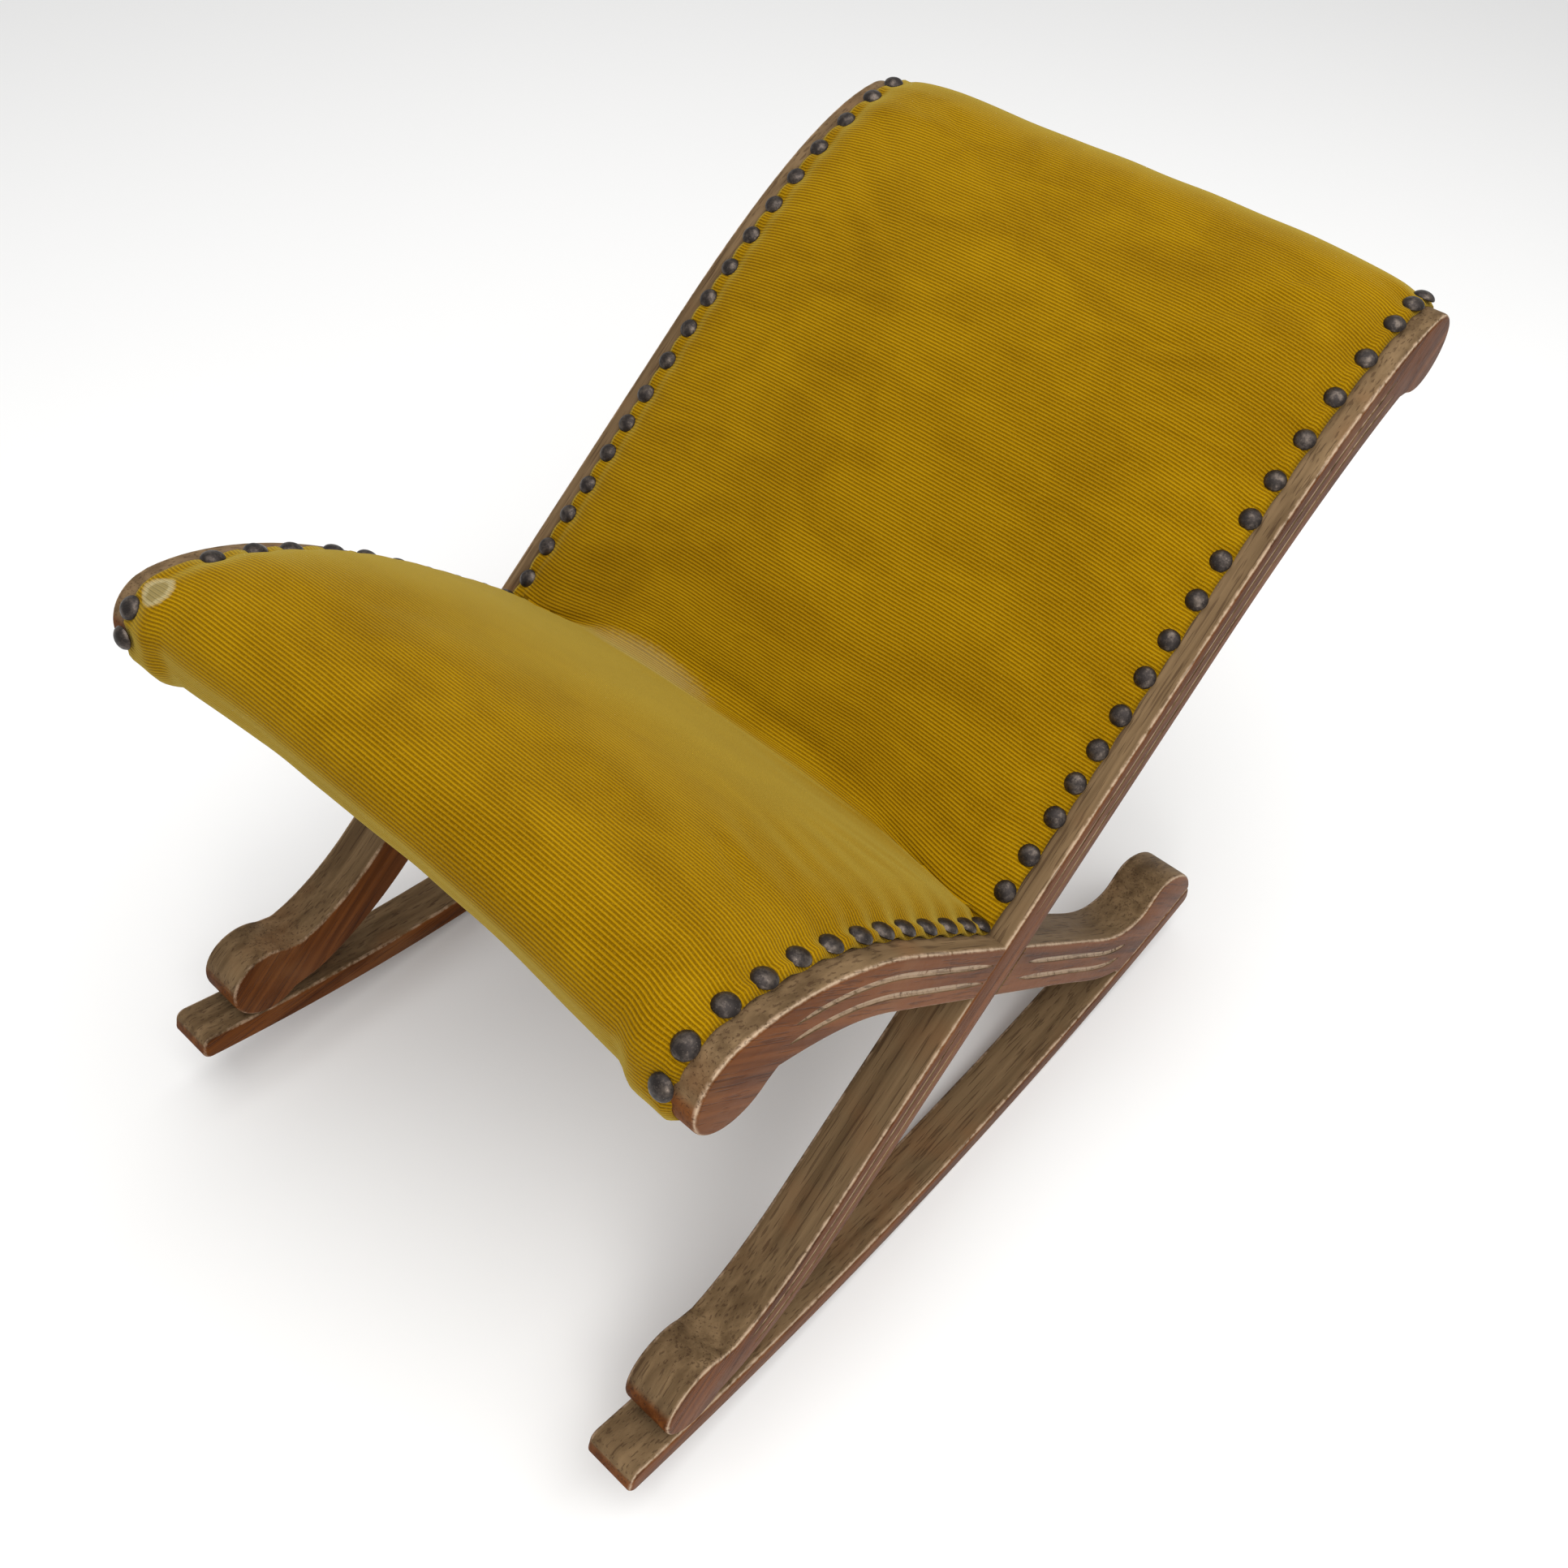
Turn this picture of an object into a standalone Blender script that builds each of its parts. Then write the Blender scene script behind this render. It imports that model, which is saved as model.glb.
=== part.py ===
"""Rocking gout stool: two X-shaped side frames on rockers, carrying one padded cover.

Metres, +Z up, X across the stool, -Y the front, +Y the tall back. The side frames are
laid out from y = 0 at the rockers' lowest line, where the stool stands on the floor,
and one empty then carries the whole stool to the middle of its overall length.
"""
import math

import bmesh
import bpy
from mathutils import Matrix, Vector

MM = 0.001
FIT = 0.0003                     # gap kept between pieces that touch

# ---- overall ---------------------------------------------------------------
WIDTH = 0.350                    # over both side frames
RAIL_THICK = 0.028               # of every frame member, across the stool
RAIL_DEPTH = 0.028               # of every frame member, seen from the side
EDGE_ROUND = 0.0016              # worn corners of the members

# ---- side frame, seen from the side (y, z) -----------------------------------
VALLEY_Y = -0.030                # where the two top edges meet
VALLEY_Z = 0.200
BACK_ANGLE = math.radians(39)    # slope of the back rail and front leg
SEAT_ANGLE = math.radians(43)    # slope of the seat rail and rear leg
BACK_RUN = 0.173                 # straight top edge above the valley
SEAT_RUN = 0.096                 # straight top edge in front of the valley
TOP_SCROLL_ALONG = 0.172         # top scroll's centre from the end of the back run
TOP_SCROLL_DROP = 0.049
TOP_SCROLL_RADIUS = 0.020
FRONT_SCROLL_ALONG = 0.101       # front scroll's centre from the end of the seat run
FRONT_SCROLL_DROP = 0.048
FRONT_SCROLL_RADIUS = 0.022
FRONT_LANDING = 0.102            # height where the front leg starts to curve
REAR_LANDING = 0.115             # height where the rear leg starts to curve
FOOT_REACH = 0.076               # foot scroll's centre ahead of that curve's start
FOOT_RADIUS = 0.021
HEEL_REACH = 0.071               # lowest dip of the rear leg behind its curve's start
HEEL_DIP = 0.042                 # dip's height above the rocker
HEEL_CREST_BACK = 0.021          # crest of the heel behind the dip
HEEL_CREST = 0.049               # crest's height above the rocker
HEEL_END_BACK = 0.066            # end of the heel behind the dip

# ---- rockers -------------------------------------------------------------------
ROCKER_RADIUS = 1.000            # running edge
ROCKER_THICK = 0.015
ROCKER_NOSE = 0.046              # rocker ahead of the foot scroll's centre
ROCKER_TAIL = 0.004              # rocker behind the heel
ROCKER_CORNER = 0.005

# ---- grooves along the outer faces --------------------------------------------
GROOVE_WIDE = 0.0030
GROOVE_DEEP = 0.0014
GROOVE_OFFSET = 0.0047           # each side of the member's centre line
GROOVE_STOP = 0.018               # plain wood left beside the crossing
SEAT_GROOVE_STOP = 0.003          # less of it on the seat rail

# ---- cross rails, dowels, screws -------------------------------------------------
FRONT_BAR_RADIUS = 0.0165
FRONT_BAR_BACK = 0.0035          # front bar's centre from the scroll's centre
FRONT_BAR_UP = 0.003
TOP_BAR_RADIUS = 0.0185
MIDDLE_WIDE = 0.040
MIDDLE_HIGH = 0.020
MIDDLE_BELOW = 0.017             # middle rail's centre below the valley
DOWEL_RADIUS = 0.004
DOWEL_IN = 0.010                 # into a side frame
DOWEL_IN_RAIL = 0.016            # into a cross rail
BAR_DOWELS = 0.006               # each dowel of a pair from the bar's centre
MIDDLE_DOWELS = 0.012            # and from the middle rail's centre
PEG_RADIUS = 0.004
PEG_LENGTH = 0.020
SCREW_SHANK = 0.002
SCREW_HEAD = 0.0042
SCREW_LENGTH = 0.028
SCREW_SUNK = 0.0015              # head below the rocker's running edge

# ---- upholstery ----------------------------------------------------------------
BARE_STRIP = 0.0105              # polished wood left outside the cover
EDGE_FILLET = 0.0055             # bend in the valley where the layers lie on the frames
VALLEY_FILLET = 0.034            # bend in the valley between the frames
SAG_WIDTH = 0.036                # over this the one bend becomes the other
WEB_THICK = 0.0010
WEB_WIDE = 0.046
WEB_EDGE = 0.012                 # webbing's ends from the cover's edge
CANVAS_THICK = 0.0006
CANVAS_EDGE = 0.003
PAD_THICK = 0.011                # at its middle
PAD_EDGE = 0.0025
PAD_TAPER = 0.050                # length of the taper at each end
PAD_STEP = 0.004                 # over this the cover drops past the stuffing's ends
COVER_THICK = 0.0015
FRONT_WRAP = math.radians(160)   # cover's turn round the front rail
TOP_WRAP = math.radians(165)     # cover's turn round the top rail
NAIL_HEAD = 0.0055
NAIL_DOME = 0.0036
NAIL_INSET = 0.0145              # nail centres from the frame's outer face
BACK_NAILS = 18
BACK_NAIL_PITCH = 0.0204
BACK_NAIL_FIRST = 0.015          # first nail above the valley
SEAT_NAILS = 13
SEAT_NAIL_PITCH = 0.0195
SEAT_NAIL_FIRST = 0.011
NAIL_ZONE = 0.0115               # flat edge of the cover that the nails stand on
NAIL_TIE = 0.0010                # thin tie under the heads of one row
NAIL_LIFT = 0.0006               # heads stand on the bend of the cloth

INNER = WIDTH / 2 - RAIL_THICK   # half the clear width between the side frames
CURVE_STEPS = 9
ARC_STEP = math.radians(15)
ROCKER_FACET = math.radians(1.4)
DOWEL_SIDES = 12
BAR_SIDES = 24
BEND_STEPS = 6


# ---- scene --------------------------------------------------------------------
for old in list(bpy.data.objects):
    bpy.data.objects.remove(old)


def collection(name):
    made = bpy.data.collections.new(name)
    bpy.context.scene.collection.children.link(made)
    return made


STOOL = collection("rocking_gout_stool")
CUTTERS = collection("cutters")


def material(name, color, roughness, metallic=0.0):
    made = bpy.data.materials.new(name)
    made.use_nodes = True
    shader = made.node_tree.nodes["Principled BSDF"]
    shader.inputs["Base Color"].default_value = (*color, 1.0)
    shader.inputs["Roughness"].default_value = roughness
    shader.inputs["Metallic"].default_value = metallic
    return made


WALNUT = material("polished_walnut", (0.19, 0.085, 0.040), 0.38)
BEECH = material("beech", (0.48, 0.33, 0.19), 0.60)
STEEL = material("screw_steel", (0.34, 0.33, 0.31), 0.45, 1.0)
JUTE = material("jute_webbing", (0.36, 0.25, 0.13), 0.90)
CANVAS = material("hessian", (0.42, 0.31, 0.18), 0.92)
FIBRE = material("stuffing_fibre", (0.28, 0.21, 0.14), 0.95)
VELVET = material("gold_velvet", (0.47, 0.27, 0.022), 0.85)
BRASS = material("antique_brass", (0.10, 0.075, 0.05), 0.35, 1.0)


# ---- plane geometry: points are Vectors (y, z) -----------------------------------
def towards(angle):
    return Vector((math.cos(angle), math.sin(angle)))


def bezier(start, handle, handle_end, end, steps=CURVE_STEPS):
    points = []
    for index in range(steps + 1):
        t = index / steps
        u = 1 - t
        points.append(start * u**3 + handle * (3 * u * u * t)
                      + handle_end * (3 * u * t * t) + end * t**3)
    return points


def arc(centre, radius, first, last, step=ARC_STEP):
    count = max(2, math.ceil(abs(last - first) / step))
    return [centre + radius * towards(first + (last - first) * index / count)
            for index in range(count + 1)]


def rocker_height(y, above):
    """Height at y of the arc that lies `above` the rocker's running edge."""
    radius = ROCKER_RADIUS - above
    return ROCKER_RADIUS - math.sqrt(radius * radius - y * y)


def on_rocker(y, above):
    return Vector((y, rocker_height(y, ROCKER_THICK + FIT) + above))


VALLEY = Vector((VALLEY_Y, VALLEY_Z))
UP_BACK = towards(BACK_ANGLE)
UP_SEAT = towards(math.pi - SEAT_ANGLE)
UNDER_BACK = towards(BACK_ANGLE - math.pi / 2)       # from the top edge to the underside
UNDER_SEAT = towards(3 * math.pi / 2 - SEAT_ANGLE)

BACK_END = VALLEY + BACK_RUN * UP_BACK
SEAT_END = VALLEY + SEAT_RUN * UP_SEAT
LEG_END = VALLEY - (VALLEY_Z - FRONT_LANDING) / math.sin(BACK_ANGLE) * UP_BACK
HEEL_START = VALLEY - (VALLEY_Z - REAR_LANDING) / math.sin(SEAT_ANGLE) * UP_SEAT
TOP_SCROLL = BACK_END + TOP_SCROLL_ALONG * UP_BACK + TOP_SCROLL_DROP * UNDER_BACK
FRONT_SCROLL = SEAT_END + FRONT_SCROLL_ALONG * UP_SEAT + FRONT_SCROLL_DROP * UNDER_SEAT
FOOT = on_rocker(LEG_END.x - FOOT_REACH, FOOT_RADIUS - 0.0006)
DIP_Y = HEEL_START.x + HEEL_REACH
CROSSING = (VALLEY + RAIL_DEPTH / 2 * (UNDER_BACK + UNDER_SEAT)
            / (1 + UNDER_BACK.dot(UNDER_SEAT)))
FRONT_CREST = FRONT_SCROLL + Vector((0, FRONT_SCROLL_RADIUS))
TOP_CREST = TOP_SCROLL + Vector((0, TOP_SCROLL_RADIUS))
FRONT_BAR = FRONT_SCROLL + Vector((FRONT_BAR_BACK, FRONT_BAR_UP))
ROCKER_FRONT = FOOT.x - ROCKER_NOSE
ROCKER_REAR = DIP_Y + HEEL_END_BACK + ROCKER_TAIL


def back_top(crest=TOP_CREST):
    """Top edge of the back rail from the end of its straight run to the scroll's crest."""
    reach = crest.x - BACK_END.x
    return bezier(BACK_END, BACK_END + 0.38 * reach * UP_BACK,
                  crest - Vector((0.30 * reach, 0.10 * TOP_SCROLL_RADIUS)), crest)


def back_under():
    notch = TOP_SCROLL + 1.27 * TOP_SCROLL_RADIUS * towards(math.radians(-142))
    start = BACK_END + RAIL_DEPTH * UNDER_BACK
    reach = (notch - start).length
    return bezier(start, start + 0.36 * reach * UP_BACK,
                  notch - 0.24 * reach * towards(math.radians(20)), notch)


def seat_top(crest=FRONT_CREST):
    """Top edge of the seat rail from the end of its straight run to the scroll's crest."""
    reach = SEAT_END.x - crest.x
    return bezier(SEAT_END, SEAT_END + 0.48 * reach * UP_SEAT,
                  crest + Vector((0.27 * reach, 0)), crest)


def seat_under():
    notch = FRONT_SCROLL + 1.10 * FRONT_SCROLL_RADIUS * towards(math.radians(-34))
    start = SEAT_END + RAIL_DEPTH * UNDER_SEAT
    reach = (notch - start).length
    return bezier(start, start + 0.42 * reach * UP_SEAT,
                  notch + 0.25 * reach * towards(math.radians(-22)), notch)


def leg_top():
    """Front edge of the front leg, from the notch over the foot scroll up to the leg."""
    notch = FOOT + 1.22 * FOOT_RADIUS * towards(math.radians(31))
    reach = (LEG_END - notch).length
    return bezier(notch, notch + 0.30 * reach * towards(math.radians(8)),
                  LEG_END - 0.34 * reach * UP_BACK, LEG_END)


def leg_under():
    start = LEG_END + RAIL_DEPTH * UNDER_BACK
    notch = FOOT + 1.42 * FOOT_RADIUS * towards(math.radians(-34))
    reach = (notch - start).length
    return bezier(start, start - 0.34 * reach * UP_BACK,
                  notch + 0.26 * reach * towards(math.radians(8)), notch)


def heel_top():
    """Top edge of the rear leg from the end of its straight run to the heel's end."""
    dip = on_rocker(DIP_Y, HEEL_DIP)
    crest = on_rocker(DIP_Y + HEEL_CREST_BACK, HEEL_CREST)
    end = on_rocker(DIP_Y + HEEL_END_BACK, 0.0)
    run = dip.x - HEEL_START.x
    rise = crest.x - dip.x
    tail = end.x - crest.x
    down = bezier(HEEL_START, HEEL_START - 0.46 * run * UP_SEAT,
                  dip - Vector((0.34 * run, -0.02 * run)), dip)
    hump = bezier(dip, dip + Vector((0.42 * rise, 0)),
                  crest - Vector((0.46 * rise, 0)), crest, 5)
    back = bezier(crest, crest + Vector((0.30 * tail, 0)),
                  end + Vector((-0.10 * tail, 0.46 * tail)), end, 6)
    return down + hump[1:] + back[1:]


def heel_under():
    """Underside of the rear leg, from where it lands on the rocker up to its straight run."""
    landing = on_rocker(DIP_Y - 0.010, 0.0)
    lift = landing + Vector((-0.004, 0.005))
    start = HEEL_START + RAIL_DEPTH * UNDER_SEAT
    reach = (lift - start).length
    return [landing] + bezier(lift, lift + 0.30 * reach * towards(math.radians(150)),
                              start - 0.36 * reach * UP_SEAT, start)


def heel_sole():
    """The heel's flat on the rocker, from its end forward."""
    first = DIP_Y + HEEL_END_BACK
    last = DIP_Y - 0.010
    return [on_rocker(first + (last - first) * index / 5, 0.0) for index in range(1, 5)]


def long_rail_outline():
    """Foot scroll, front leg, back rail and top scroll in one piece."""
    foot = arc(FOOT, FOOT_RADIUS, math.radians(-55), math.radians(-310))
    crown = arc(TOP_SCROLL, TOP_SCROLL_RADIUS, math.radians(90), math.radians(-122))
    return (leg_top() + back_top() + crown[1:] + back_under()[::-1]
            + leg_under() + foot)


def seat_rail_outline():
    """Front scroll, seat rail, rear leg and heel in one piece."""
    scroll = arc(FRONT_SCROLL, FRONT_SCROLL_RADIUS, math.radians(-48), math.radians(-255))
    return (seat_top()[::-1] + heel_top() + heel_sole() + heel_under()
            + seat_under() + scroll)


def rocker_angles(first, last):
    """Angles of the rocker's facets between its ends. One facet lies flat at the lowest
    line, and the others follow it both ways."""
    down = -math.pi / 2
    inside = []
    angle = down + ROCKER_FACET / 2
    while angle < last - ROCKER_FACET / 2:
        inside.append(angle)
        angle += ROCKER_FACET
    angle = down - ROCKER_FACET / 2
    while angle > first + ROCKER_FACET / 2:
        inside.insert(0, angle)
        angle -= ROCKER_FACET
    return [first] + inside + [last]


def rocker_nose(centre, angle, sign):
    """The rounded end of a rocker, from its underside to its top."""
    radial = towards(angle)
    along = sign * Vector((-radial.y, radial.x))
    inset = ROCKER_CORNER * along
    low = centre + (ROCKER_RADIUS - ROCKER_CORNER) * radial - inset
    high = centre + (ROCKER_RADIUS - ROCKER_THICK + ROCKER_CORNER) * radial - inset
    turns = [math.radians(angle) for angle in (30, 60, 90)]
    lower = [low + ROCKER_CORNER * (math.cos(a) * radial + math.sin(a) * along)
             for a in turns]
    upper = [high + ROCKER_CORNER * (math.sin(a) * along - math.cos(a) * radial)
             for a in reversed(turns)]
    return lower + upper


def rocker_outline():
    """A long even curve. Its underside's facets touch the curve at their middles."""
    centre = Vector((0, ROCKER_RADIUS))
    first = math.asin(ROCKER_FRONT / ROCKER_RADIUS) - math.pi / 2
    last = math.asin(ROCKER_REAR / ROCKER_RADIUS) - math.pi / 2
    corner = ROCKER_CORNER / ROCKER_RADIUS
    angles = rocker_angles(first + corner, last - corner)
    under = ROCKER_RADIUS / math.cos(ROCKER_FACET / 2)
    outer = [centre + under * towards(angle) for angle in angles]
    inner = [centre + (ROCKER_RADIUS - ROCKER_THICK) * towards(angle)
             for angle in reversed(angles)]
    return (outer + rocker_nose(centre, last, 1) + inner
            + rocker_nose(centre, first, -1)[::-1])


# ---- making solids ------------------------------------------------------------------
def add_modifier(thing, kind, **values):
    modifier = thing.modifiers.new(kind.lower(), kind)
    for name, value in values.items():
        setattr(modifier, name, value)
    return modifier


def to_mesh(curve_object, name, home=STOOL):
    """Turn a curve object into a welded mesh object in the same place."""
    depsgraph = bpy.context.evaluated_depsgraph_get()
    mesh = bpy.data.meshes.new_from_object(curve_object.evaluated_get(depsgraph))
    matrix = curve_object.matrix_world.copy()
    data = curve_object.data
    bpy.data.objects.remove(curve_object)
    bpy.data.curves.remove(data)
    shape = bmesh.new()
    shape.from_mesh(mesh)
    bmesh.ops.remove_doubles(shape, verts=shape.verts, dist=0.00001)
    bmesh.ops.recalc_face_normals(shape, faces=shape.faces)
    shape.to_mesh(mesh)
    shape.free()
    mesh.name = name
    made = bpy.data.objects.new(name, mesh)
    made.matrix_world = matrix
    home.objects.link(made)
    return made


SIDE_ON = (math.pi / 2, 0, math.pi / 2)      # curve plane (x, y) becomes (y, z)


def plates(name, outlines, x, thick, paint, home=STOOL):
    """Flat outlines in (y, z), `thick` across the stool and centred on x."""
    curve = bpy.data.curves.new(name, "CURVE")
    curve.dimensions = "2D"
    curve.fill_mode = "BOTH"
    curve.extrude = thick / 2
    for outline in outlines:
        spline = curve.splines.new("POLY")
        spline.points.add(len(outline) - 1)
        for point, place in zip(spline.points, outline):
            point.co = (place.x, place.y, 0, 1)
        spline.use_cyclic_u = True
    flat = bpy.data.objects.new(name, curve)
    flat.rotation_euler = SIDE_ON
    flat.location = (x, 0, 0)
    home.objects.link(flat)
    bpy.context.view_layer.update()
    made = to_mesh(flat, name, home)
    if paint:
        made.data.materials.append(paint)
    return made


def plate(name, outline, x, thick, paint, home=STOOL):
    return plates(name, [outline], x, thick, paint, home)


def soften(thing, width=EDGE_ROUND):
    add_modifier(thing, "BEVEL", width=width, segments=1, limit_method="ANGLE",
                 angle_limit=math.radians(50))


def hide_cutter(cutter):
    cutter.hide_render = True
    cutter.display_type = "WIRE"
    return cutter


def cut(thing, cutter):
    add_modifier(thing, "BOOLEAN", operation="DIFFERENCE", object=cutter, solver="EXACT")


def rod(name, place, radius, length, paint=None, home=STOOL, sides=DOWEL_SIDES):
    """A round rod along X, centred on place (x, y, z)."""
    mesh = bpy.data.meshes.new(name)
    shape = bmesh.new()
    bmesh.ops.create_cone(shape, cap_ends=True, segments=sides, radius1=radius,
                          radius2=radius, depth=length,
                          matrix=Matrix.Rotation(math.pi / 2, 4, "Y"))
    shape.to_mesh(mesh)
    shape.free()
    made = bpy.data.objects.new(name, mesh)
    made.location = place
    home.objects.link(made)
    if paint:
        mesh.materials.append(paint)
        mesh.shade_smooth()
        mesh.set_sharp_from_angle(angle=math.radians(40))
    return made


def bar_cutter(name, direction, x, thick):
    """Cutter for a lap: a bar along `direction` through the crossing, half a rail thick."""
    mesh = bpy.data.meshes.new(name)
    shape = bmesh.new()
    bmesh.ops.create_cube(shape, size=1)
    bmesh.ops.scale(shape, verts=shape.verts,
                    vec=(thick, 3 * RAIL_DEPTH, RAIL_DEPTH + 2 * FIT))
    shape.to_mesh(mesh)
    shape.free()
    made = bpy.data.objects.new(name, mesh)
    made.location = (x, CROSSING.x, CROSSING.y)
    made.rotation_euler = (math.atan2(direction.y, direction.x), 0, 0)
    CUTTERS.objects.link(made)
    return hide_cutter(made)


# ---- grooves -----------------------------------------------------------------------
def middle_line(top, under):
    return [(a + b) / 2 for a, b in zip(top, under)]


def shifted(line, offset):
    moved = []
    for index, point in enumerate(line):
        before = line[max(index - 1, 0)]
        after = line[min(index + 1, len(line) - 1)]
        along = (after - before).normalized()
        moved.append(point + offset * Vector((-along.y, along.x)))
    return moved


def groove_cutter(name, lines, side):
    """Square channels, two along each line, in the frame's outer face."""
    outlines = []
    for line in lines:
        for offset in (-GROOVE_OFFSET, GROOVE_OFFSET):
            low = shifted(line, offset - GROOVE_WIDE / 2)
            high = shifted(line, offset + GROOVE_WIDE / 2)
            outlines.append(low + high[::-1])
    return hide_cutter(plates(name, outlines, side * WIDTH / 2, 2 * GROOVE_DEEP, None,
                              CUTTERS))


def long_grooves():
    """Centre lines of the grooves on the back rail and on the front leg."""
    middle = RAIL_DEPTH / 2 * UNDER_BACK
    back = middle_line(back_top(), back_under())[:-2]
    leg = middle_line(leg_top()[::-1], leg_under())[:-2]
    clear = RAIL_DEPTH / 2 + GROOVE_STOP
    above = CROSSING + clear * UP_BACK
    below = CROSSING - clear * UP_BACK
    return [[above, (above + BACK_END + middle) / 2] + back,
            [below, (below + LEG_END + middle) / 2] + leg]


def seat_grooves():
    """Centre lines of the grooves on the seat rail and on the rear leg."""
    middle = RAIL_DEPTH / 2 * UNDER_SEAT
    seat = middle_line(seat_top(), seat_under())[:-2]
    leg = middle_line(heel_top()[:CURVE_STEPS + 1], heel_under()[1:][::-1])[:-1]
    above = CROSSING + (RAIL_DEPTH / 2 + SEAT_GROOVE_STOP) * UP_SEAT
    below = CROSSING - (RAIL_DEPTH / 2 + GROOVE_STOP) * UP_SEAT
    return [[above] + seat, [below, (below + HEEL_START + middle) / 2] + leg]


# ---- places of the fastenings ----------------------------------------------------
MIDDLE_RAIL = VALLEY - Vector((0, MIDDLE_BELOW))


def dowel_pair(centre, spread):
    return [centre + Vector((-spread, 0)), centre + Vector((spread, 0))]


DOWELS = {
    "front": dowel_pair(FRONT_BAR, BAR_DOWELS),
    "top": dowel_pair(TOP_SCROLL, BAR_DOWELS),
    "middle": dowel_pair(MIDDLE_RAIL, MIDDLE_DOWELS),
}
DOWEL_LENGTH = DOWEL_IN + DOWEL_IN_RAIL - FIT
DOWEL_X = INNER + (DOWEL_IN - DOWEL_IN_RAIL) / 2
SCREW_Y = {"front": FOOT.x, "rear": DIP_Y + 0.034}


def dowel_holes(name, where, side):
    """Cutters for one pair of dowel holes, open to both pieces."""
    holes = []
    for index, place in enumerate(DOWELS[where]):
        holes.append(hide_cutter(rod(f"{name}_{index}", (side * DOWEL_X, place.x, place.y),
                                     DOWEL_RADIUS + FIT, DOWEL_LENGTH + 2 * FIT,
                                     home=CUTTERS)))
    return holes


def screw_profile(clear):
    """Half outline of a countersunk screw, axis on Z, head at the bottom."""
    head = SCREW_HEAD + clear
    shank = SCREW_SHANK + clear
    low = -SCREW_SUNK if clear else SCREW_SUNK
    neck = SCREW_SUNK + SCREW_HEAD - SCREW_SHANK
    tip = SCREW_LENGTH + clear
    return [(0, tip), (shank * 0.5, tip), (shank, tip - 0.003), (shank, neck + clear),
            (head, SCREW_SUNK + clear), (head, low), (0, low)]


def turned(name, profile, place, tilt, paint=None, home=STOOL):
    """A profile (radius, height) turned about Z, then tilted about X."""
    mesh = bpy.data.meshes.new(name)
    mesh.from_pydata([(r, 0, z) for r, z in profile],
                     [(i, i + 1) for i in range(len(profile) - 1)], [])
    made = bpy.data.objects.new(name, mesh)
    made.location = place
    made.rotation_euler = (tilt, 0, 0)
    home.objects.link(made)
    add_modifier(made, "SCREW", steps=DOWEL_SIDES, render_steps=DOWEL_SIDES,
                 use_merge_vertices=True, merge_threshold=0.00005,
                 use_smooth_shade=False)
    if paint:
        mesh.materials.append(paint)
    return made


def screw_place(where, side):
    y = SCREW_Y[where]
    x = side * (WIDTH / 2 - RAIL_THICK / 2)
    return (x, y, rocker_height(y, 0)), math.asin(y / ROCKER_RADIUS)


# ---- side frames -------------------------------------------------------------------
def side_frame(label, side):
    centre_x = side * (WIDTH / 2 - RAIL_THICK / 2)
    lap = RAIL_THICK / 2 + 0.004                       # cutter runs past the face
    inner_lap = bar_cutter(f"lap_for_seat_{label}", UP_SEAT,
                           centre_x - side * (lap / 2 - FIT / 2), lap)
    outer_lap = bar_cutter(f"lap_for_back_{label}", UP_BACK,
                           centre_x + side * (lap / 2 - FIT / 2), lap)
    peg_hole = hide_cutter(rod(f"peg_hole_{label}", (centre_x, CROSSING.x, CROSSING.y),
                               PEG_RADIUS + FIT, PEG_LENGTH + 2 * FIT, home=CUTTERS))
    screw_holes = {}
    for where in SCREW_Y:
        place, tilt = screw_place(where, side)
        screw_holes[where] = hide_cutter(turned(f"screw_hole_{where}_{label}",
                                                screw_profile(FIT), place, tilt,
                                                home=CUTTERS))

    long_rail = plate(f"long_rail_{label}", long_rail_outline(), centre_x, RAIL_THICK,
                      WALNUT)
    soften(long_rail)
    cut(long_rail, rocker_clearance(label, centre_x))
    cut(long_rail, inner_lap)
    cut(long_rail, peg_hole)
    cut(long_rail, screw_holes["front"])
    cut(long_rail, groove_cutter(f"long_grooves_{label}", long_grooves(), side))

    seat_rail = plate(f"seat_rail_{label}", seat_rail_outline(), centre_x, RAIL_THICK,
                      WALNUT)
    soften(seat_rail)
    cut(seat_rail, outer_lap)
    cut(seat_rail, peg_hole)
    cut(seat_rail, screw_holes["rear"])
    cut(seat_rail, groove_cutter(f"seat_grooves_{label}", seat_grooves(), side))

    rocker = plate(f"rocker_{label}", rocker_outline(), centre_x, RAIL_THICK, WALNUT)
    soften(rocker)
    for where in SCREW_Y:
        cut(rocker, screw_holes[where])
        place, tilt = screw_place(where, side)
        turned(f"rocker_screw_{where}_{label}", screw_profile(0), place, tilt, STEEL)

    rod(f"crossing_peg_{label}", (centre_x, CROSSING.x, CROSSING.y), PEG_RADIUS,
        PEG_LENGTH, BEECH)
    return long_rail, seat_rail


def rocker_clearance(label, centre_x):
    """Cutter that keeps the foot scroll just clear of the rocker's upper edge."""
    low = FOOT.x - 1.5 * FOOT_RADIUS
    high = FOOT.x + 2.5 * FOOT_RADIUS
    count = 8
    top = [on_rocker(low + (high - low) * index / count, 0.0) for index in range(count + 1)]
    drop = Vector((0, -ROCKER_THICK))
    outline = top + [high_point + drop for high_point in (top[-1], top[0])]
    return hide_cutter(plate(f"foot_clearance_{label}", outline, centre_x,
                             RAIL_THICK + 0.004, None, CUTTERS))


# ---- cross rails and dowels ------------------------------------------------------
def round_bar(name, centre, radius):
    return rod(name, (0, centre.x, centre.y), radius, 2 * (INNER - FIT), BEECH,
               sides=BAR_SIDES)


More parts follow.
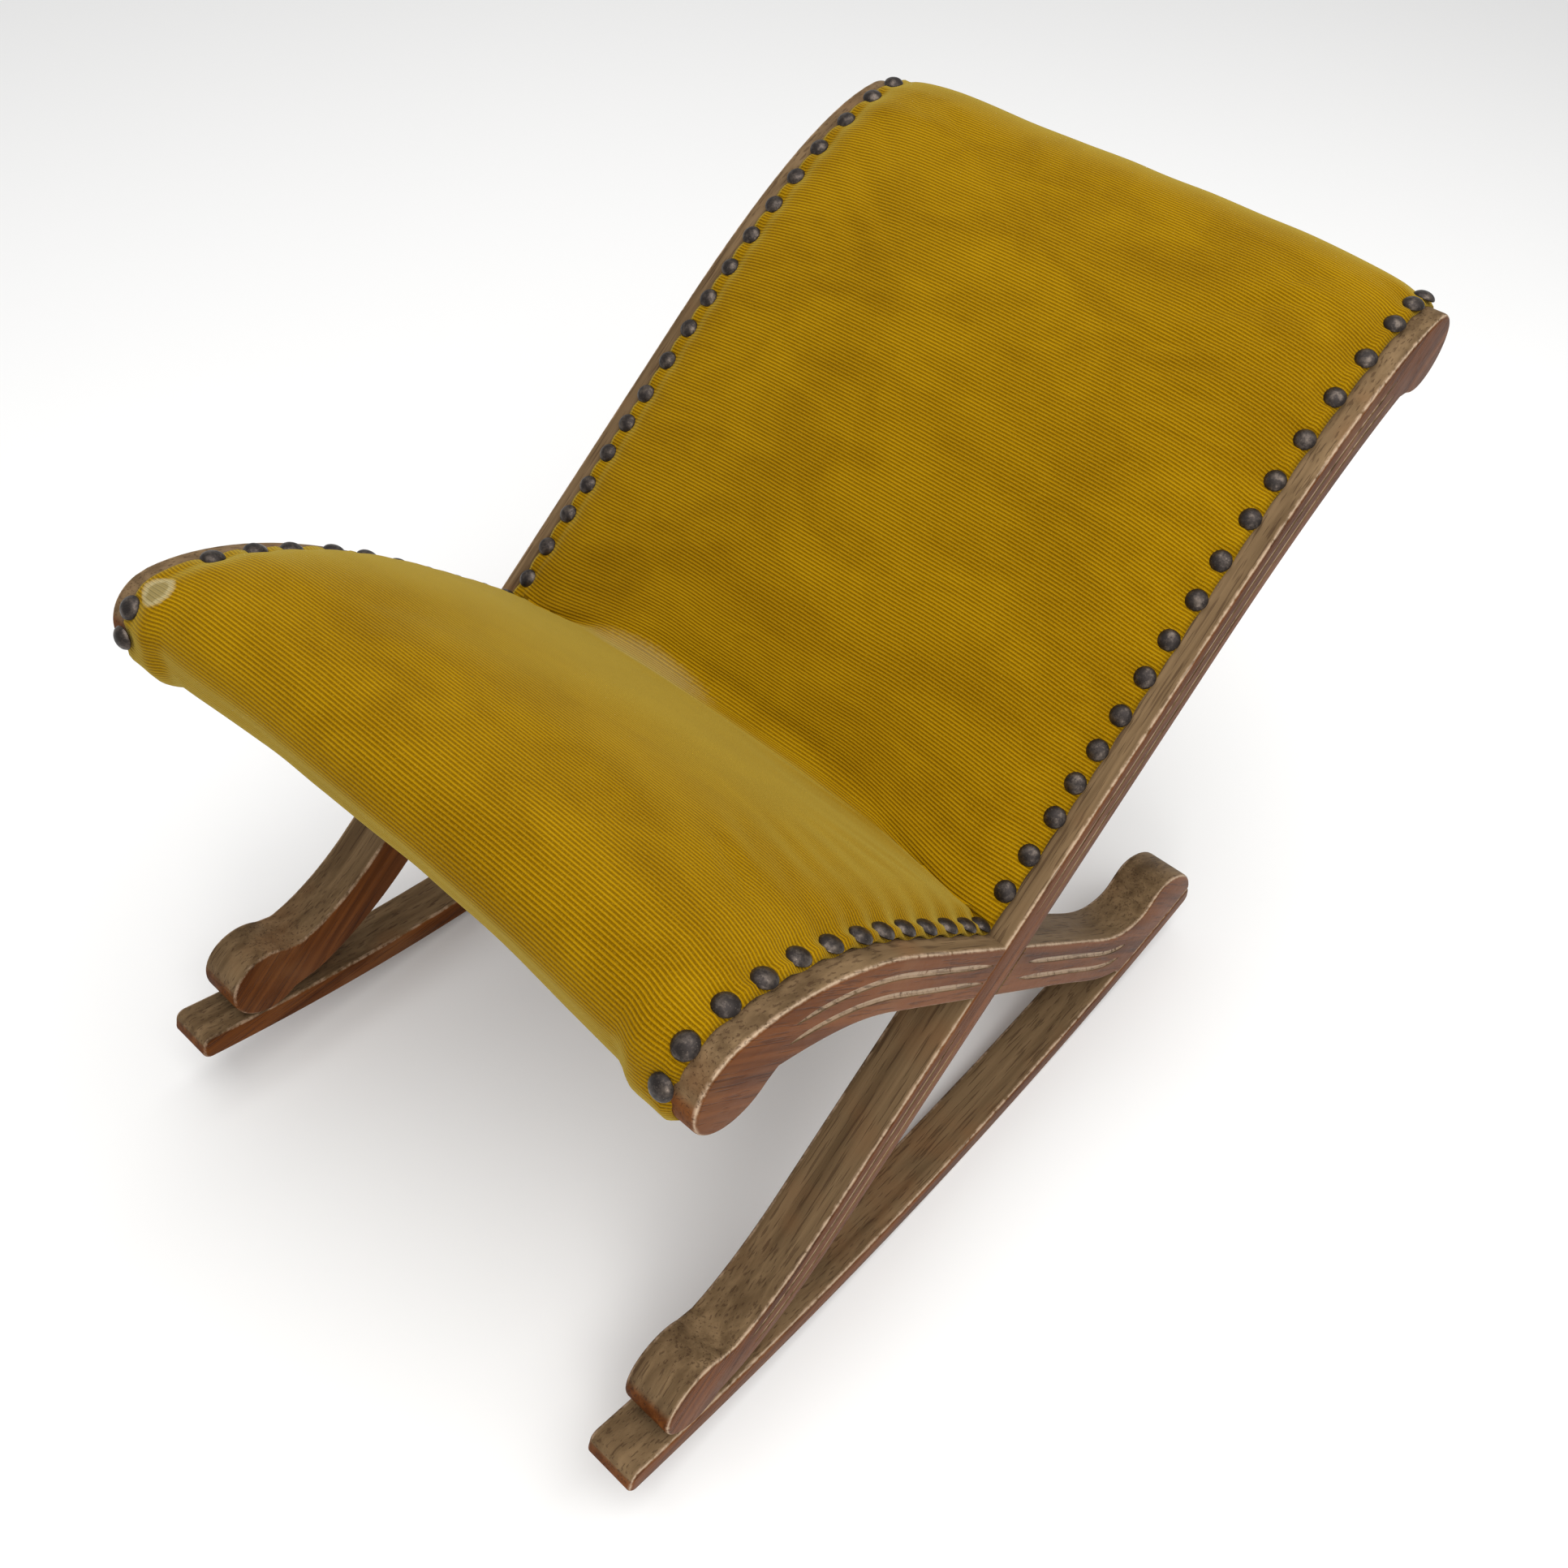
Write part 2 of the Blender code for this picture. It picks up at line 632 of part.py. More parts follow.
def middle_rail():
    y = MIDDLE_WIDE / 2
    z = MIDDLE_HIGH / 2
    corners = [MIDDLE_RAIL + Vector(c) for c in ((-y, -z), (y, -z), (y, z), (-y, z))]
    rail = plate("middle_rail", corners, 0, 2 * (INNER - FIT), BEECH)
    soften(rail, 0.002)
    return rail


def cross_rails(frames):
    rails = {
        "front": round_bar("front_rail", FRONT_BAR, FRONT_BAR_RADIUS),
        "top": round_bar("top_rail", TOP_SCROLL, TOP_BAR_RADIUS),
        "middle": middle_rail(),
    }
    for label, side in (("left", -1), ("right", 1)):
        long_rail, seat_rail = frames[label]
        holder = {"front": seat_rail, "top": long_rail, "middle": seat_rail}
        for where, rail in rails.items():
            for hole in dowel_holes(f"dowel_hole_{where}_{label}", where, side):
                cut(rail, hole)
                cut(holder[where], hole)
            for index, place in enumerate(DOWELS[where]):
                rod(f"dowel_{where}_{label}_{index + 1}",
                    (side * DOWEL_X, place.x, place.y), DOWEL_RADIUS, DOWEL_LENGTH, BEECH)


# ---- upholstery ------------------------------------------------------------------
def valley_bend(radius):
    """A rounded bend in the valley, from the seat side to the back side."""
    opening = math.pi - BACK_ANGLE - SEAT_ANGLE
    inward = (UP_BACK + UP_SEAT).normalized()
    centre = VALLEY + radius / math.sin(opening / 2) * inward
    first = math.atan2(UNDER_SEAT.y, UNDER_SEAT.x)
    last = math.atan2(UNDER_BACK.y, UNDER_BACK.x)
    return arc(centre, radius, first, last, abs(last - first) / BEND_STEPS * 1.001)


def wrapped_line(front, front_radius, top, top_radius, bend):
    """A line from under the front rail, over the seat, up the back, round the top rail."""
    up = Vector((0, 1))
    start = arc(front, front_radius, math.pi / 2 + FRONT_WRAP, math.pi / 2)
    finish = arc(top, top_radius, math.pi / 2, math.pi / 2 - TOP_WRAP)
    return (start + seat_top(front + front_radius * up)[::-1][1:] + valley_bend(bend)
            + back_top(top + top_radius * up) + finish[1:])


FRAME_LINE = wrapped_line(FRONT_SCROLL, FRONT_SCROLL_RADIUS, TOP_SCROLL,
                          TOP_SCROLL_RADIUS, EDGE_FILLET)
SPAN_LINE = wrapped_line(FRONT_BAR, FRONT_BAR_RADIUS + FIT, TOP_SCROLL,
                         TOP_SCROLL_RADIUS, VALLEY_FILLET)
REACH = [0.0]
for first_point, next_point in zip(FRAME_LINE, FRAME_LINE[1:]):
    REACH.append(REACH[-1] + (next_point - first_point).length)


def nearest_reach(point):
    return min(zip(REACH, FRAME_LINE), key=lambda pair: (pair[1] - point).length)[0]


FRONT_CROWN = nearest_reach(FRONT_CREST)
TOP_CROWN = nearest_reach(TOP_CREST)
EDGE_BEND = valley_bend(EDGE_FILLET)
BEND = (nearest_reach(EDGE_BEND[0]) + nearest_reach(EDGE_BEND[-1])) / 2


def along_line(reach, x=WIDTH / 2):
    """Point and outward direction at a distance along the frames' line, at x across:
    on the frames' own line over the frames, on the line between them further in."""
    index = max(i for i in range(len(REACH) - 1) if REACH[i] <= reach or i == 0)
    share = (reach - REACH[index]) / (REACH[index + 1] - REACH[index])
    sag = min(1.0, max(0.0, (INNER - abs(x)) / SAG_WIDTH))
    def blended(i):
        i = min(max(i, 0), len(REACH) - 1)
        return FRAME_LINE[i].lerp(SPAN_LINE[i], sag)
    here, there = blended(index), blended(index + 1)
    entry = (there - blended(index - 1)).normalized()
    leaving = (blended(index + 2) - here).normalized()
    along = entry.lerp(leaving, share).normalized()
    return here.lerp(there, share), Vector((-along.y, along.x))


def layer(name, stations, columns, low, high, paint):
    """A soft layer over the line. `columns` are its places across the stool; `low` and
    `high` give its two heights above the line from the distance along it and from x."""
    rows = len(stations) - 1
    mesh = bpy.data.meshes.new(name)
    shape = bmesh.new()
    bmesh.ops.create_grid(shape, x_segments=len(columns) - 1, y_segments=rows, size=1)
    lower = shape.verts[:]
    bmesh.ops.extrude_face_region(shape, geom=shape.faces[:])
    for vert in shape.verts:
        x = columns[round((vert.co.x + 1) / 2 * (len(columns) - 1))]
        reach = stations[round((vert.co.y + 1) / 2 * rows)]
        lift = low if vert in lower else high
        point, out = along_line(reach, x)
        place = point + lift(reach, x) * out
        vert.co = (x, place.x, place.y)
    bmesh.ops.recalc_face_normals(shape, faces=shape.faces)
    shape.to_mesh(mesh)
    shape.free()
    made = bpy.data.objects.new(name, mesh)
    mesh.materials.append(paint)
    STOOL.objects.link(made)
    return made


def between(first, last):
    """Stations along the line: its own points from first to last."""
    inside = [reach for reach in REACH if first + 0.002 < reach < last - 0.002]
    return [first] + inside + [last]


WEB_LOW = FIT
WEB_HIGH = WEB_LOW + WEB_THICK
CANVAS_LOW = WEB_HIGH + FIT
CANVAS_HIGH = CANVAS_LOW + CANVAS_THICK
PAD_LOW = CANVAS_HIGH + FIT
COVER_HALF = WIDTH / 2 - BARE_STRIP
PAD_HALF = INNER - 0.002
PAD_FIRST = FRONT_CROWN - 0.012
PAD_LAST = TOP_CROWN + 0.008


def across(half, count):
    return [half * (2 * index / count - 1) for index in range(count + 1)]


PAD_COLUMNS = across(PAD_HALF, 8)
WEB_HALF = COVER_HALF - WEB_EDGE
WEB_COLUMNS = [-WEB_HALF, -INNER] + PAD_COLUMNS + [INNER, WEB_HALF]
CANVAS_HALF = COVER_HALF - CANVAS_EDGE
CANVAS_COLUMNS = [-CANVAS_HALF, -INNER] + PAD_COLUMNS + [INNER, CANVAS_HALF]
COVER_COLUMNS = ([-COVER_HALF, NAIL_ZONE - COVER_HALF, -INNER] + PAD_COLUMNS
                 + [INNER, COVER_HALF - NAIL_ZONE, COVER_HALF])


def flat(height):
    return lambda reach, x: height


def pad_top(reach, x):
    """Crown of the stuffing, which falls away to its sides and its two ends."""
    side = max(0.0, 1 - (x / PAD_HALF)**4)
    end = min(1.0, (reach - PAD_FIRST) / PAD_TAPER, (PAD_LAST - reach) / PAD_TAPER)
    return PAD_LOW + PAD_EDGE + (PAD_THICK - PAD_EDGE) * side * max(0.0, end)**0.5


def cover_low(reach, x):
    """Underside of the cover: over the stuffing, and down on the canvas at the frames."""
    over_pad = abs(x) <= PAD_HALF + FIT and PAD_FIRST <= reach <= PAD_LAST
    return pad_top(reach, x) + FIT if over_pad else PAD_LOW


def cover_high(reach, x):
    return cover_low(reach, x) + COVER_THICK


def webbing():
    """Straps across the frames, between the rails that the cover is stretched over."""
    runs = (("seat", FRONT_CROWN + 0.020, BEND - 0.034, 2),
            ("back", BEND + 0.040, TOP_CROWN - 0.020, 4))
    for part, first, last, count in runs:
        pitch = (last - first - WEB_WIDE) / (count - 1)
        for index in range(count):
            start = first + pitch * index
            layer(f"webbing_{part}_{index + 1}", between(start, start + WEB_WIDE),
                  WEB_COLUMNS, flat(WEB_LOW), flat(WEB_HIGH), JUTE)


def upholstery():
    webbing()
    layer("canvas", between(FRONT_CROWN - 0.008, TOP_CROWN + 0.006),
          CANVAS_COLUMNS, flat(CANVAS_LOW), flat(CANVAS_HIGH), CANVAS)
    pad = between(PAD_FIRST, PAD_LAST)
    layer("stuffing", pad, PAD_COLUMNS, flat(PAD_LOW), pad_top, FIBRE)
    stations = (between(0.0, PAD_FIRST - PAD_STEP) + pad
                + between(PAD_LAST + PAD_STEP, REACH[-1]))
    layer("cover", stations, COVER_COLUMNS, cover_low, cover_high, VELVET)


def nail_row(name, side, first, step, count):
    """Domed nail heads over the cover's edge, with a thin tie that makes one piece."""
    lift = PAD_LOW + COVER_THICK + FIT
    x = side * (WIDTH / 2 - NAIL_INSET)
    places = [first + step * index for index in range(count)]
    low, high = min(places), max(places)
    inside = [reach for reach in REACH if low < reach < high]
    tie = layer(name, [low] + inside + [high], [x - NAIL_TIE, x + NAIL_TIE], flat(lift),
                flat(lift + NAIL_TIE), BRASS)
    heads = bpy.data.meshes.new(f"{name}_heads")
    shape = bmesh.new()
    for reach in places:
        point, out = along_line(reach)
        base = point + (lift + NAIL_LIFT) * out
        turn = Matrix.Rotation(math.atan2(out.y, out.x) - math.pi / 2, 4, "X")
        place = Matrix.Translation((x, base.x, base.y)) @ turn
        bmesh.ops.create_cone(shape, cap_ends=True, segments=10, radius1=NAIL_HEAD,
                              radius2=NAIL_HEAD * 0.55, depth=NAIL_DOME,
                              matrix=place @ Matrix.Translation((0, 0, NAIL_DOME / 2)))
    shape.to_mesh(heads)
    shape.free()
    domes = bpy.data.objects.new(f"{name}_heads", heads)
    CUTTERS.objects.link(domes)
    hide_cutter(domes)
    add_modifier(tie, "BOOLEAN", operation="UNION", object=domes, solver="EXACT")


def nails():
    for label, side in (("left", -1), ("right", 1)):
        nail_row(f"back_nails_{label}", side, BEND + BACK_NAIL_FIRST, BACK_NAIL_PITCH,
                 BACK_NAILS)
        nail_row(f"seat_nails_{label}", side, BEND - SEAT_NAIL_FIRST, -SEAT_NAIL_PITCH,
                 SEAT_NAILS)


def set_down():
    """Carry the stool, and its cutters, to the middle of its overall length."""
    front = ROCKER_FRONT
    rear = TOP_SCROLL.x + TOP_SCROLL_RADIUS + PAD_LOW + COVER_THICK
    carrier = bpy.data.objects.new("stool_carrier", None)
    STOOL.objects.link(carrier)
    for thing in list(STOOL.objects) + list(CUTTERS.objects):
        if thing is not carrier:
            thing.parent = carrier
    carrier.location.y = -(front + rear) / 2


def build():
    frames = {label: side_frame(label, side) for label, side in (("left", -1), ("right", 1))}
    cross_rails(frames)
    upholstery()
    nails()
    set_down()


build()
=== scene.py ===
"""A rocking gout stool: walnut side frames on rockers, a ribbed gold velvet cover held
by rows of domed nails, and the webbing and hessian that carry it.

Metres, +Z up, X across the stool, -Y the low front, +Y the tall back.
"""

import math

import bpy
from mathutils import Matrix, Vector, noise


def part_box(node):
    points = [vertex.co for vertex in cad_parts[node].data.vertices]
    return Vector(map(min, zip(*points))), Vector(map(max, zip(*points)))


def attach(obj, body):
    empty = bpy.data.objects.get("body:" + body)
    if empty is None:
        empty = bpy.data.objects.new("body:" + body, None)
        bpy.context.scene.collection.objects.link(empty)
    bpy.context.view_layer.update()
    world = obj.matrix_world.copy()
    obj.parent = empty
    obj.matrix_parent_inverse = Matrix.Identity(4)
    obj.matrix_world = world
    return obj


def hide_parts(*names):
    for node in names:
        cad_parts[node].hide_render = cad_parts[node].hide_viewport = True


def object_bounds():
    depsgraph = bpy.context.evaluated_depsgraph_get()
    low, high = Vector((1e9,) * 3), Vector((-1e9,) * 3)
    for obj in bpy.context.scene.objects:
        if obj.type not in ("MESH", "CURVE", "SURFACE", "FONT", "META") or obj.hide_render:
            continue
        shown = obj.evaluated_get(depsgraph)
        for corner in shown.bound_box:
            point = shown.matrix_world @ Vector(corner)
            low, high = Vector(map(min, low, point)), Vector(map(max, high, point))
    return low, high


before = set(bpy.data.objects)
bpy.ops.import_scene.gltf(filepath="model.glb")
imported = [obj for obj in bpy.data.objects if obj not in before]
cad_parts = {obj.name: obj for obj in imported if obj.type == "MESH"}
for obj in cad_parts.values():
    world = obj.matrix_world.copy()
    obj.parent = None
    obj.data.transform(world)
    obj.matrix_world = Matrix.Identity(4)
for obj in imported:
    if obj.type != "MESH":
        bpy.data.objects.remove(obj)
CAD_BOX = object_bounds()

# ---- sizes of the side frames ---------------------------------------------------
WIDTH = 0.350
RAIL_THICK = 0.028
RAIL_DEPTH = 0.028
VALLEY = Vector((-0.030, 0.200))
BACK_ANGLE = math.radians(39)
SEAT_ANGLE = math.radians(43)
BACK_RUN = 0.173
SEAT_RUN = 0.096
TOP_RADIUS = 0.020
FRONT_RADIUS = 0.022
FRONT_LANDING = 0.102
REAR_LANDING = 0.115
FOOT_REACH = 0.076
FOOT_RADIUS = 0.021
HEEL_REACH = 0.071
HEEL_DIP = 0.042
HEEL_CREST_BACK = 0.021
HEEL_CREST = 0.049
HEEL_END_BACK = 0.066
ROCKER_RADIUS = 1.000
ROCKER_THICK = 0.015
ROCKER_NOSE = 0.046
ROCKER_TAIL = 0.004
ROCKER_CORNER = 0.005
GROOVE_RADIUS = 0.0017
GROOVE_OFFSET = 0.0047
GROOVE_STOP = 0.018
SEAT_GROOVE_STOP = 0.003
ROUND_OVER = 0.0022              # wear has rounded the long edges
SEAM = 0.0003                    # hairline at the halved joint
FIT = 0.0003
LAP_SLACK = 0.004                # the joint's cutters reach past the frame's faces
SOLE_LEAD = 0.010                # the heel lands this far before its dip

# ---- sizes of the upholstery ----------------------------------------------------
INNER = WIDTH / 2 - RAIL_THICK
BARE_STRIP = 0.0105              # polished wood left outside the cover
COVER_HALF = WIDTH / 2 - BARE_STRIP
EDGE_FILLET = 0.0055
VALLEY_FILLET = 0.034
QUICK_SAG = 0.012                # how far in from the frames the cover leaves their line
SLOW_SAG = 0.095
QUICK_SHARE = 0.45               # of the drop at the front edge; the rest is slow
FRONT_BAR_RADIUS = 0.0165
TOP_BAR_RADIUS = 0.0185
FRONT_WRAP = math.radians(160)   # cover's turn round the front scroll
TOP_WRAP = math.radians(165)     # and round the top scroll
CANVAS_LIFT = 0.0022             # top of the hessian above the frames' line
COVER_LIFT = 0.0040              # top of the velvet at its nailed edge
PAD_CROWN = 0.0125               # crown of the stuffing at its middle
VELVET_THICK = 0.0016
CANVAS_THICK = 0.0006
STRAP_THICK = 0.0010
STRAP_LIFT = 0.0013              # top of the webbing above the frames' line
STRAP_WIDE = 0.046
STRAP_EDGE = 0.012               # webbing's ends from the velvet's edges
FOLD = 0.0022                    # the velvet's turned edge
NAIL_DIP = 0.0062                # reach of the dimple round a nail
NAIL_HALF_GAP = 0.0102           # half of the usual gap between nails
NAIL_SUNK = 0.0015               # a head's base below the cover's nailed edge
NAIL_INSET = 0.0145
NAIL_HEAD = 0.0055
RIB_PITCH = 0.00175

# Uneven nail places, in millimetres along the cover from the bottom of the valley.
# Guessed: the first six of the left seat row and the last two of the right back row.
BACK_NAILS = {
    "left": (14.6, 34.9, 56.0, 75.1, 95.6, 114.8, 133.7, 155.2, 176.1, 195.7, 216.1,
             237.2, 258.2, 278.0, 299.4, 322.1, 344.6, 362.5),
    "right": (20.0, 39.7, 60.5, 78.5, 96.6, 115.4, 135.9, 156.0, 178.0, 198.8, 222.0,
              243.0, 266.5, 291.3, 316.2, 340.9, 358.5, 370.5)}
SEAT_NAILS = {
    "left": (8.0, 27.0, 48.0, 70.0, 91.5, 112.5, 132.8, 157.0, 175.2, 195.8, 234.7,
             247.6),
    "right": (5.7, 23.7, 46.0, 69.5, 92.3, 113.1, 131.4, 152.2, 172.0, 191.8, 210.6,
              228.6, 243.7)}


# ---- lines of the side frames, in (y, z) ------------------------------------------
def towards(angle):
    return Vector((math.cos(angle), math.sin(angle)))


def bezier(start, handle, handle_end, end, steps=18):
    points = []
    for index in range(steps + 1):
        t = index / steps
        u = 1 - t
        points.append(start * u**3 + handle * (3 * u * u * t)
                      + handle_end * (3 * u * t * t) + end * t**3)
    return points


def arc(centre, radius, first, last, step=math.radians(6)):
    count = max(2, math.ceil(abs(last - first) / step))
    return [centre + radius * towards(first + (last - first) * index / count)
            for index in range(count + 1)]


def on_rocker(y, above):
    radius = ROCKER_RADIUS - ROCKER_THICK - FIT
    return Vector((y, ROCKER_RADIUS - math.sqrt(radius * radius - y * y) + above))


UP_BACK = towards(BACK_ANGLE)
UP_SEAT = towards(math.pi - SEAT_ANGLE)
UNDER_BACK = towards(BACK_ANGLE - math.pi / 2)
UNDER_SEAT = towards(3 * math.pi / 2 - SEAT_ANGLE)
BACK_END = VALLEY + BACK_RUN * UP_BACK
SEAT_END = VALLEY + SEAT_RUN * UP_SEAT
LEG_END = VALLEY - (VALLEY.y - FRONT_LANDING) / math.sin(BACK_ANGLE) * UP_BACK
HEEL_START = VALLEY - (VALLEY.y - REAR_LANDING) / math.sin(SEAT_ANGLE) * UP_SEAT
TOP_SCROLL = BACK_END + 0.172 * UP_BACK + 0.049 * UNDER_BACK
FRONT_SCROLL = SEAT_END + 0.101 * UP_SEAT + 0.048 * UNDER_SEAT
FOOT = on_rocker(LEG_END.x - FOOT_REACH, FOOT_RADIUS - 0.0006)
DIP_Y = HEEL_START.x + HEEL_REACH
CROSSING = (VALLEY + RAIL_DEPTH / 2 * (UNDER_BACK + UNDER_SEAT)
            / (1 + UNDER_BACK.dot(UNDER_SEAT)))
FRONT_CREST = FRONT_SCROLL + Vector((0, FRONT_RADIUS))
TOP_CREST = TOP_SCROLL + Vector((0, TOP_RADIUS))
FRONT_BAR = FRONT_SCROLL + Vector((0.0035, 0.003))
PEG_LOW, PEG_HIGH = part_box("crossing_peg_left")
SET_BACK = (PEG_LOW.y + PEG_HIGH.y) / 2 - CROSSING.x     # from these lines to the stool


def back_top(crest=TOP_CREST):
    reach = crest.x - BACK_END.x
    return bezier(BACK_END, BACK_END + 0.38 * reach * UP_BACK,
                  crest - Vector((0.30 * reach, 0.10 * TOP_RADIUS)), crest)


def back_under():
    notch = TOP_SCROLL + 1.27 * TOP_RADIUS * towards(math.radians(-142))
    start = BACK_END + RAIL_DEPTH * UNDER_BACK
    reach = (notch - start).length
    return bezier(start, start + 0.36 * reach * UP_BACK,
                  notch - 0.24 * reach * towards(math.radians(20)), notch)


def seat_top(crest=FRONT_CREST):
    reach = SEAT_END.x - crest.x
    return bezier(SEAT_END, SEAT_END + 0.48 * reach * UP_SEAT,
                  crest + Vector((0.27 * reach, 0)), crest)


def seat_under():
    notch = FRONT_SCROLL + 1.10 * FRONT_RADIUS * towards(math.radians(-34))
    start = SEAT_END + RAIL_DEPTH * UNDER_SEAT
    reach = (notch - start).length
    return bezier(start, start + 0.42 * reach * UP_SEAT,
                  notch + 0.25 * reach * towards(math.radians(-22)), notch)


def leg_top():
    notch = FOOT + 1.22 * FOOT_RADIUS * towards(math.radians(31))
    reach = (LEG_END - notch).length
    return bezier(notch, notch + 0.30 * reach * towards(math.radians(8)),
                  LEG_END - 0.34 * reach * UP_BACK, LEG_END)


def leg_under():
    start = LEG_END + RAIL_DEPTH * UNDER_BACK
    notch = FOOT + 1.42 * FOOT_RADIUS * towards(math.radians(-34))
    reach = (notch - start).length
    return bezier(start, start - 0.34 * reach * UP_BACK,
                  notch + 0.26 * reach * towards(math.radians(8)), notch)


def heel_down():
    dip = on_rocker(DIP_Y, HEEL_DIP)
    run = dip.x - HEEL_START.x
    return bezier(HEEL_START, HEEL_START - 0.46 * run * UP_SEAT,
                  dip - Vector((0.34 * run, -0.02 * run)), dip)


def heel_top():
    dip = on_rocker(DIP_Y, HEEL_DIP)
    crest = on_rocker(DIP_Y + HEEL_CREST_BACK, HEEL_CREST)
    end = on_rocker(DIP_Y + HEEL_END_BACK, 0.0)
    rise = crest.x - dip.x
    tail = end.x - crest.x
    hump = bezier(dip, dip + Vector((0.42 * rise, 0)),
                  crest - Vector((0.46 * rise, 0)), crest, 10)
    back = bezier(crest, crest + Vector((0.30 * tail, 0)),
                  end + Vector((-0.10 * tail, 0.46 * tail)), end, 12)
    return heel_down() + hump[1:] + back[1:]


def heel_under():
    landing = on_rocker(DIP_Y - SOLE_LEAD, 0.0)
    lift = landing + Vector((-0.004, 0.005))
    start = HEEL_START + RAIL_DEPTH * UNDER_SEAT
    reach = (lift - start).length
    return [landing] + bezier(lift, lift + 0.30 * reach * towards(math.radians(150)),
                              start - 0.36 * reach * UP_SEAT, start)


def long_rail_outline():
    foot = arc(FOOT, FOOT_RADIUS, math.radians(-55), math.radians(-310))
    crown = arc(TOP_SCROLL, TOP_RADIUS, math.radians(90), math.radians(-122))
    return (leg_top() + back_top() + crown[1:] + back_under()[::-1]
            + leg_under() + foot)


def seat_rail_outline():
    first = DIP_Y + HEEL_END_BACK
    last = DIP_Y - SOLE_LEAD
    sole = [on_rocker(first + (last - first) * index / 10, 0.0) for index in range(1, 10)]
    scroll = arc(FRONT_SCROLL, FRONT_RADIUS, math.radians(-48), math.radians(-255))
    return seat_top()[::-1] + heel_top() + sole + heel_under() + seat_under() + scroll


def rocker_outline():
    centre = Vector((0, ROCKER_RADIUS))
    front = FOOT.x - ROCKER_NOSE
    rear = DIP_Y + HEEL_END_BACK + ROCKER_TAIL
    corner = ROCKER_CORNER / ROCKER_RADIUS
    first = math.asin(front / ROCKER_RADIUS) - math.pi / 2
    last = math.asin(rear / ROCKER_RADIUS) - math.pi / 2
    step = math.radians(0.7)
    outer = arc(centre, ROCKER_RADIUS, first + corner, last - corner, step)
    inner = arc(centre, ROCKER_RADIUS - ROCKER_THICK, last - corner, first + corner, step)

    def nose(angle, sign):
        radial = towards(angle)
        along = sign * Vector((-radial.y, radial.x))
        inset = ROCKER_CORNER * along
        low = centre + (ROCKER_RADIUS - ROCKER_CORNER) * radial - inset
        high = centre + (ROCKER_RADIUS - ROCKER_THICK + ROCKER_CORNER) * radial - inset
        turns = [math.radians(turn) for turn in (18, 36, 54, 72, 90)]
        lower = [low + ROCKER_CORNER * (math.cos(a) * radial + math.sin(a) * along)
                 for a in turns]
        upper = [high + ROCKER_CORNER * (math.sin(a) * along - math.cos(a) * radial)
                 for a in reversed(turns)]
        return lower + upper
    return outer + nose(last, 1) + inner + nose(first, -1)[::-1]


# ---- materials ----------------------------------------------------------------------
def shader(name):
    """A new material and its tree, with only a Principled shader and the output."""
    paint = bpy.data.materials.new(name)
    paint.use_nodes = True
    return paint, paint.node_tree, paint.node_tree.nodes["Principled BSDF"]


def roughen(tree, body, height, strength, distance):
    """Fine relief from a height, for the finish only."""
    bump = tree.nodes.new("ShaderNodeBump")
    bump.inputs["Strength"].default_value = strength
    bump.inputs["Distance"].default_value = distance
    tree.links.new(height, bump.inputs["Height"])
    tree.links.new(bump.outputs[0], body.inputs["Normal"])


def math_node(tree, operation, first, second=None, clamp=False):
    made = tree.nodes.new("ShaderNodeMath")
    made.operation = operation
    made.use_clamp = clamp
    for socket, value in zip(made.inputs, (first, second)):
        if value is None:
            continue
        if isinstance(value, (int, float)):
            socket.default_value = value
        else:
            tree.links.new(value, socket)
    return made.outputs[0]


def ramp(tree, value, low, high, low_to=0.0, high_to=1.0):
    """Smoothly carries value from low..high to low_to..high_to."""
    made = tree.nodes.new("ShaderNodeMapRange")
    made.interpolation_type = "SMOOTHSTEP"
    tree.links.new(value, made.inputs["Value"])
    for key, number in (("From Min", low), ("From Max", high), ("To Min", low_to),
                        ("To Max", high_to)):
        made.inputs[key].default_value = number
    return made.outputs["Result"]


def mix(tree, share, first, second, blend="MIX"):
    made = tree.nodes.new("ShaderNodeMix")
    made.data_type = "RGBA"
    made.blend_type = blend
    sockets = (made.inputs[0], made.inputs[6], made.inputs[7])
    for socket, value in zip(sockets, (share, first, second)):
        if isinstance(value, (int, float)):
            socket.default_value = value
        elif isinstance(value, tuple):
            socket.default_value = (*value, 1.0)
        else:
            tree.links.new(value, socket)
    return made.outputs[2]


def noise_node(tree, vector, scale, detail=4.0, roughness=0.55, distortion=0.0):
    made = tree.nodes.new("ShaderNodeTexNoise")
    tree.links.new(vector, made.inputs["Vector"])
    made.inputs["Scale"].default_value = scale
    made.inputs["Detail"].default_value = detail
    made.inputs["Roughness"].default_value = roughness
    made.inputs["Distortion"].default_value = distortion
    return made.outputs["Fac"]


def stretched(tree, vector, scale, turn=(0, 0, 0)):
    made = tree.nodes.new("ShaderNodeMapping")
    made.inputs["Scale"].default_value = scale
    made.inputs["Rotation"].default_value = turn
    tree.links.new(vector, made.inputs["Vector"])
    return made.outputs["Vector"]


def new_group(name, inputs, outputs):
    group = bpy.data.node_groups.new(name, "ShaderNodeTree")
    for label, kind, value in inputs:
        socket = group.interface.new_socket(label, in_out="INPUT", socket_type=kind)
        if value is not None:
            socket.default_value = value
    for label, kind in outputs:
        group.interface.new_socket(label, in_out="OUTPUT", socket_type=kind)
    return group, group.nodes.new("NodeGroupInput"), group.nodes.new("NodeGroupOutput")


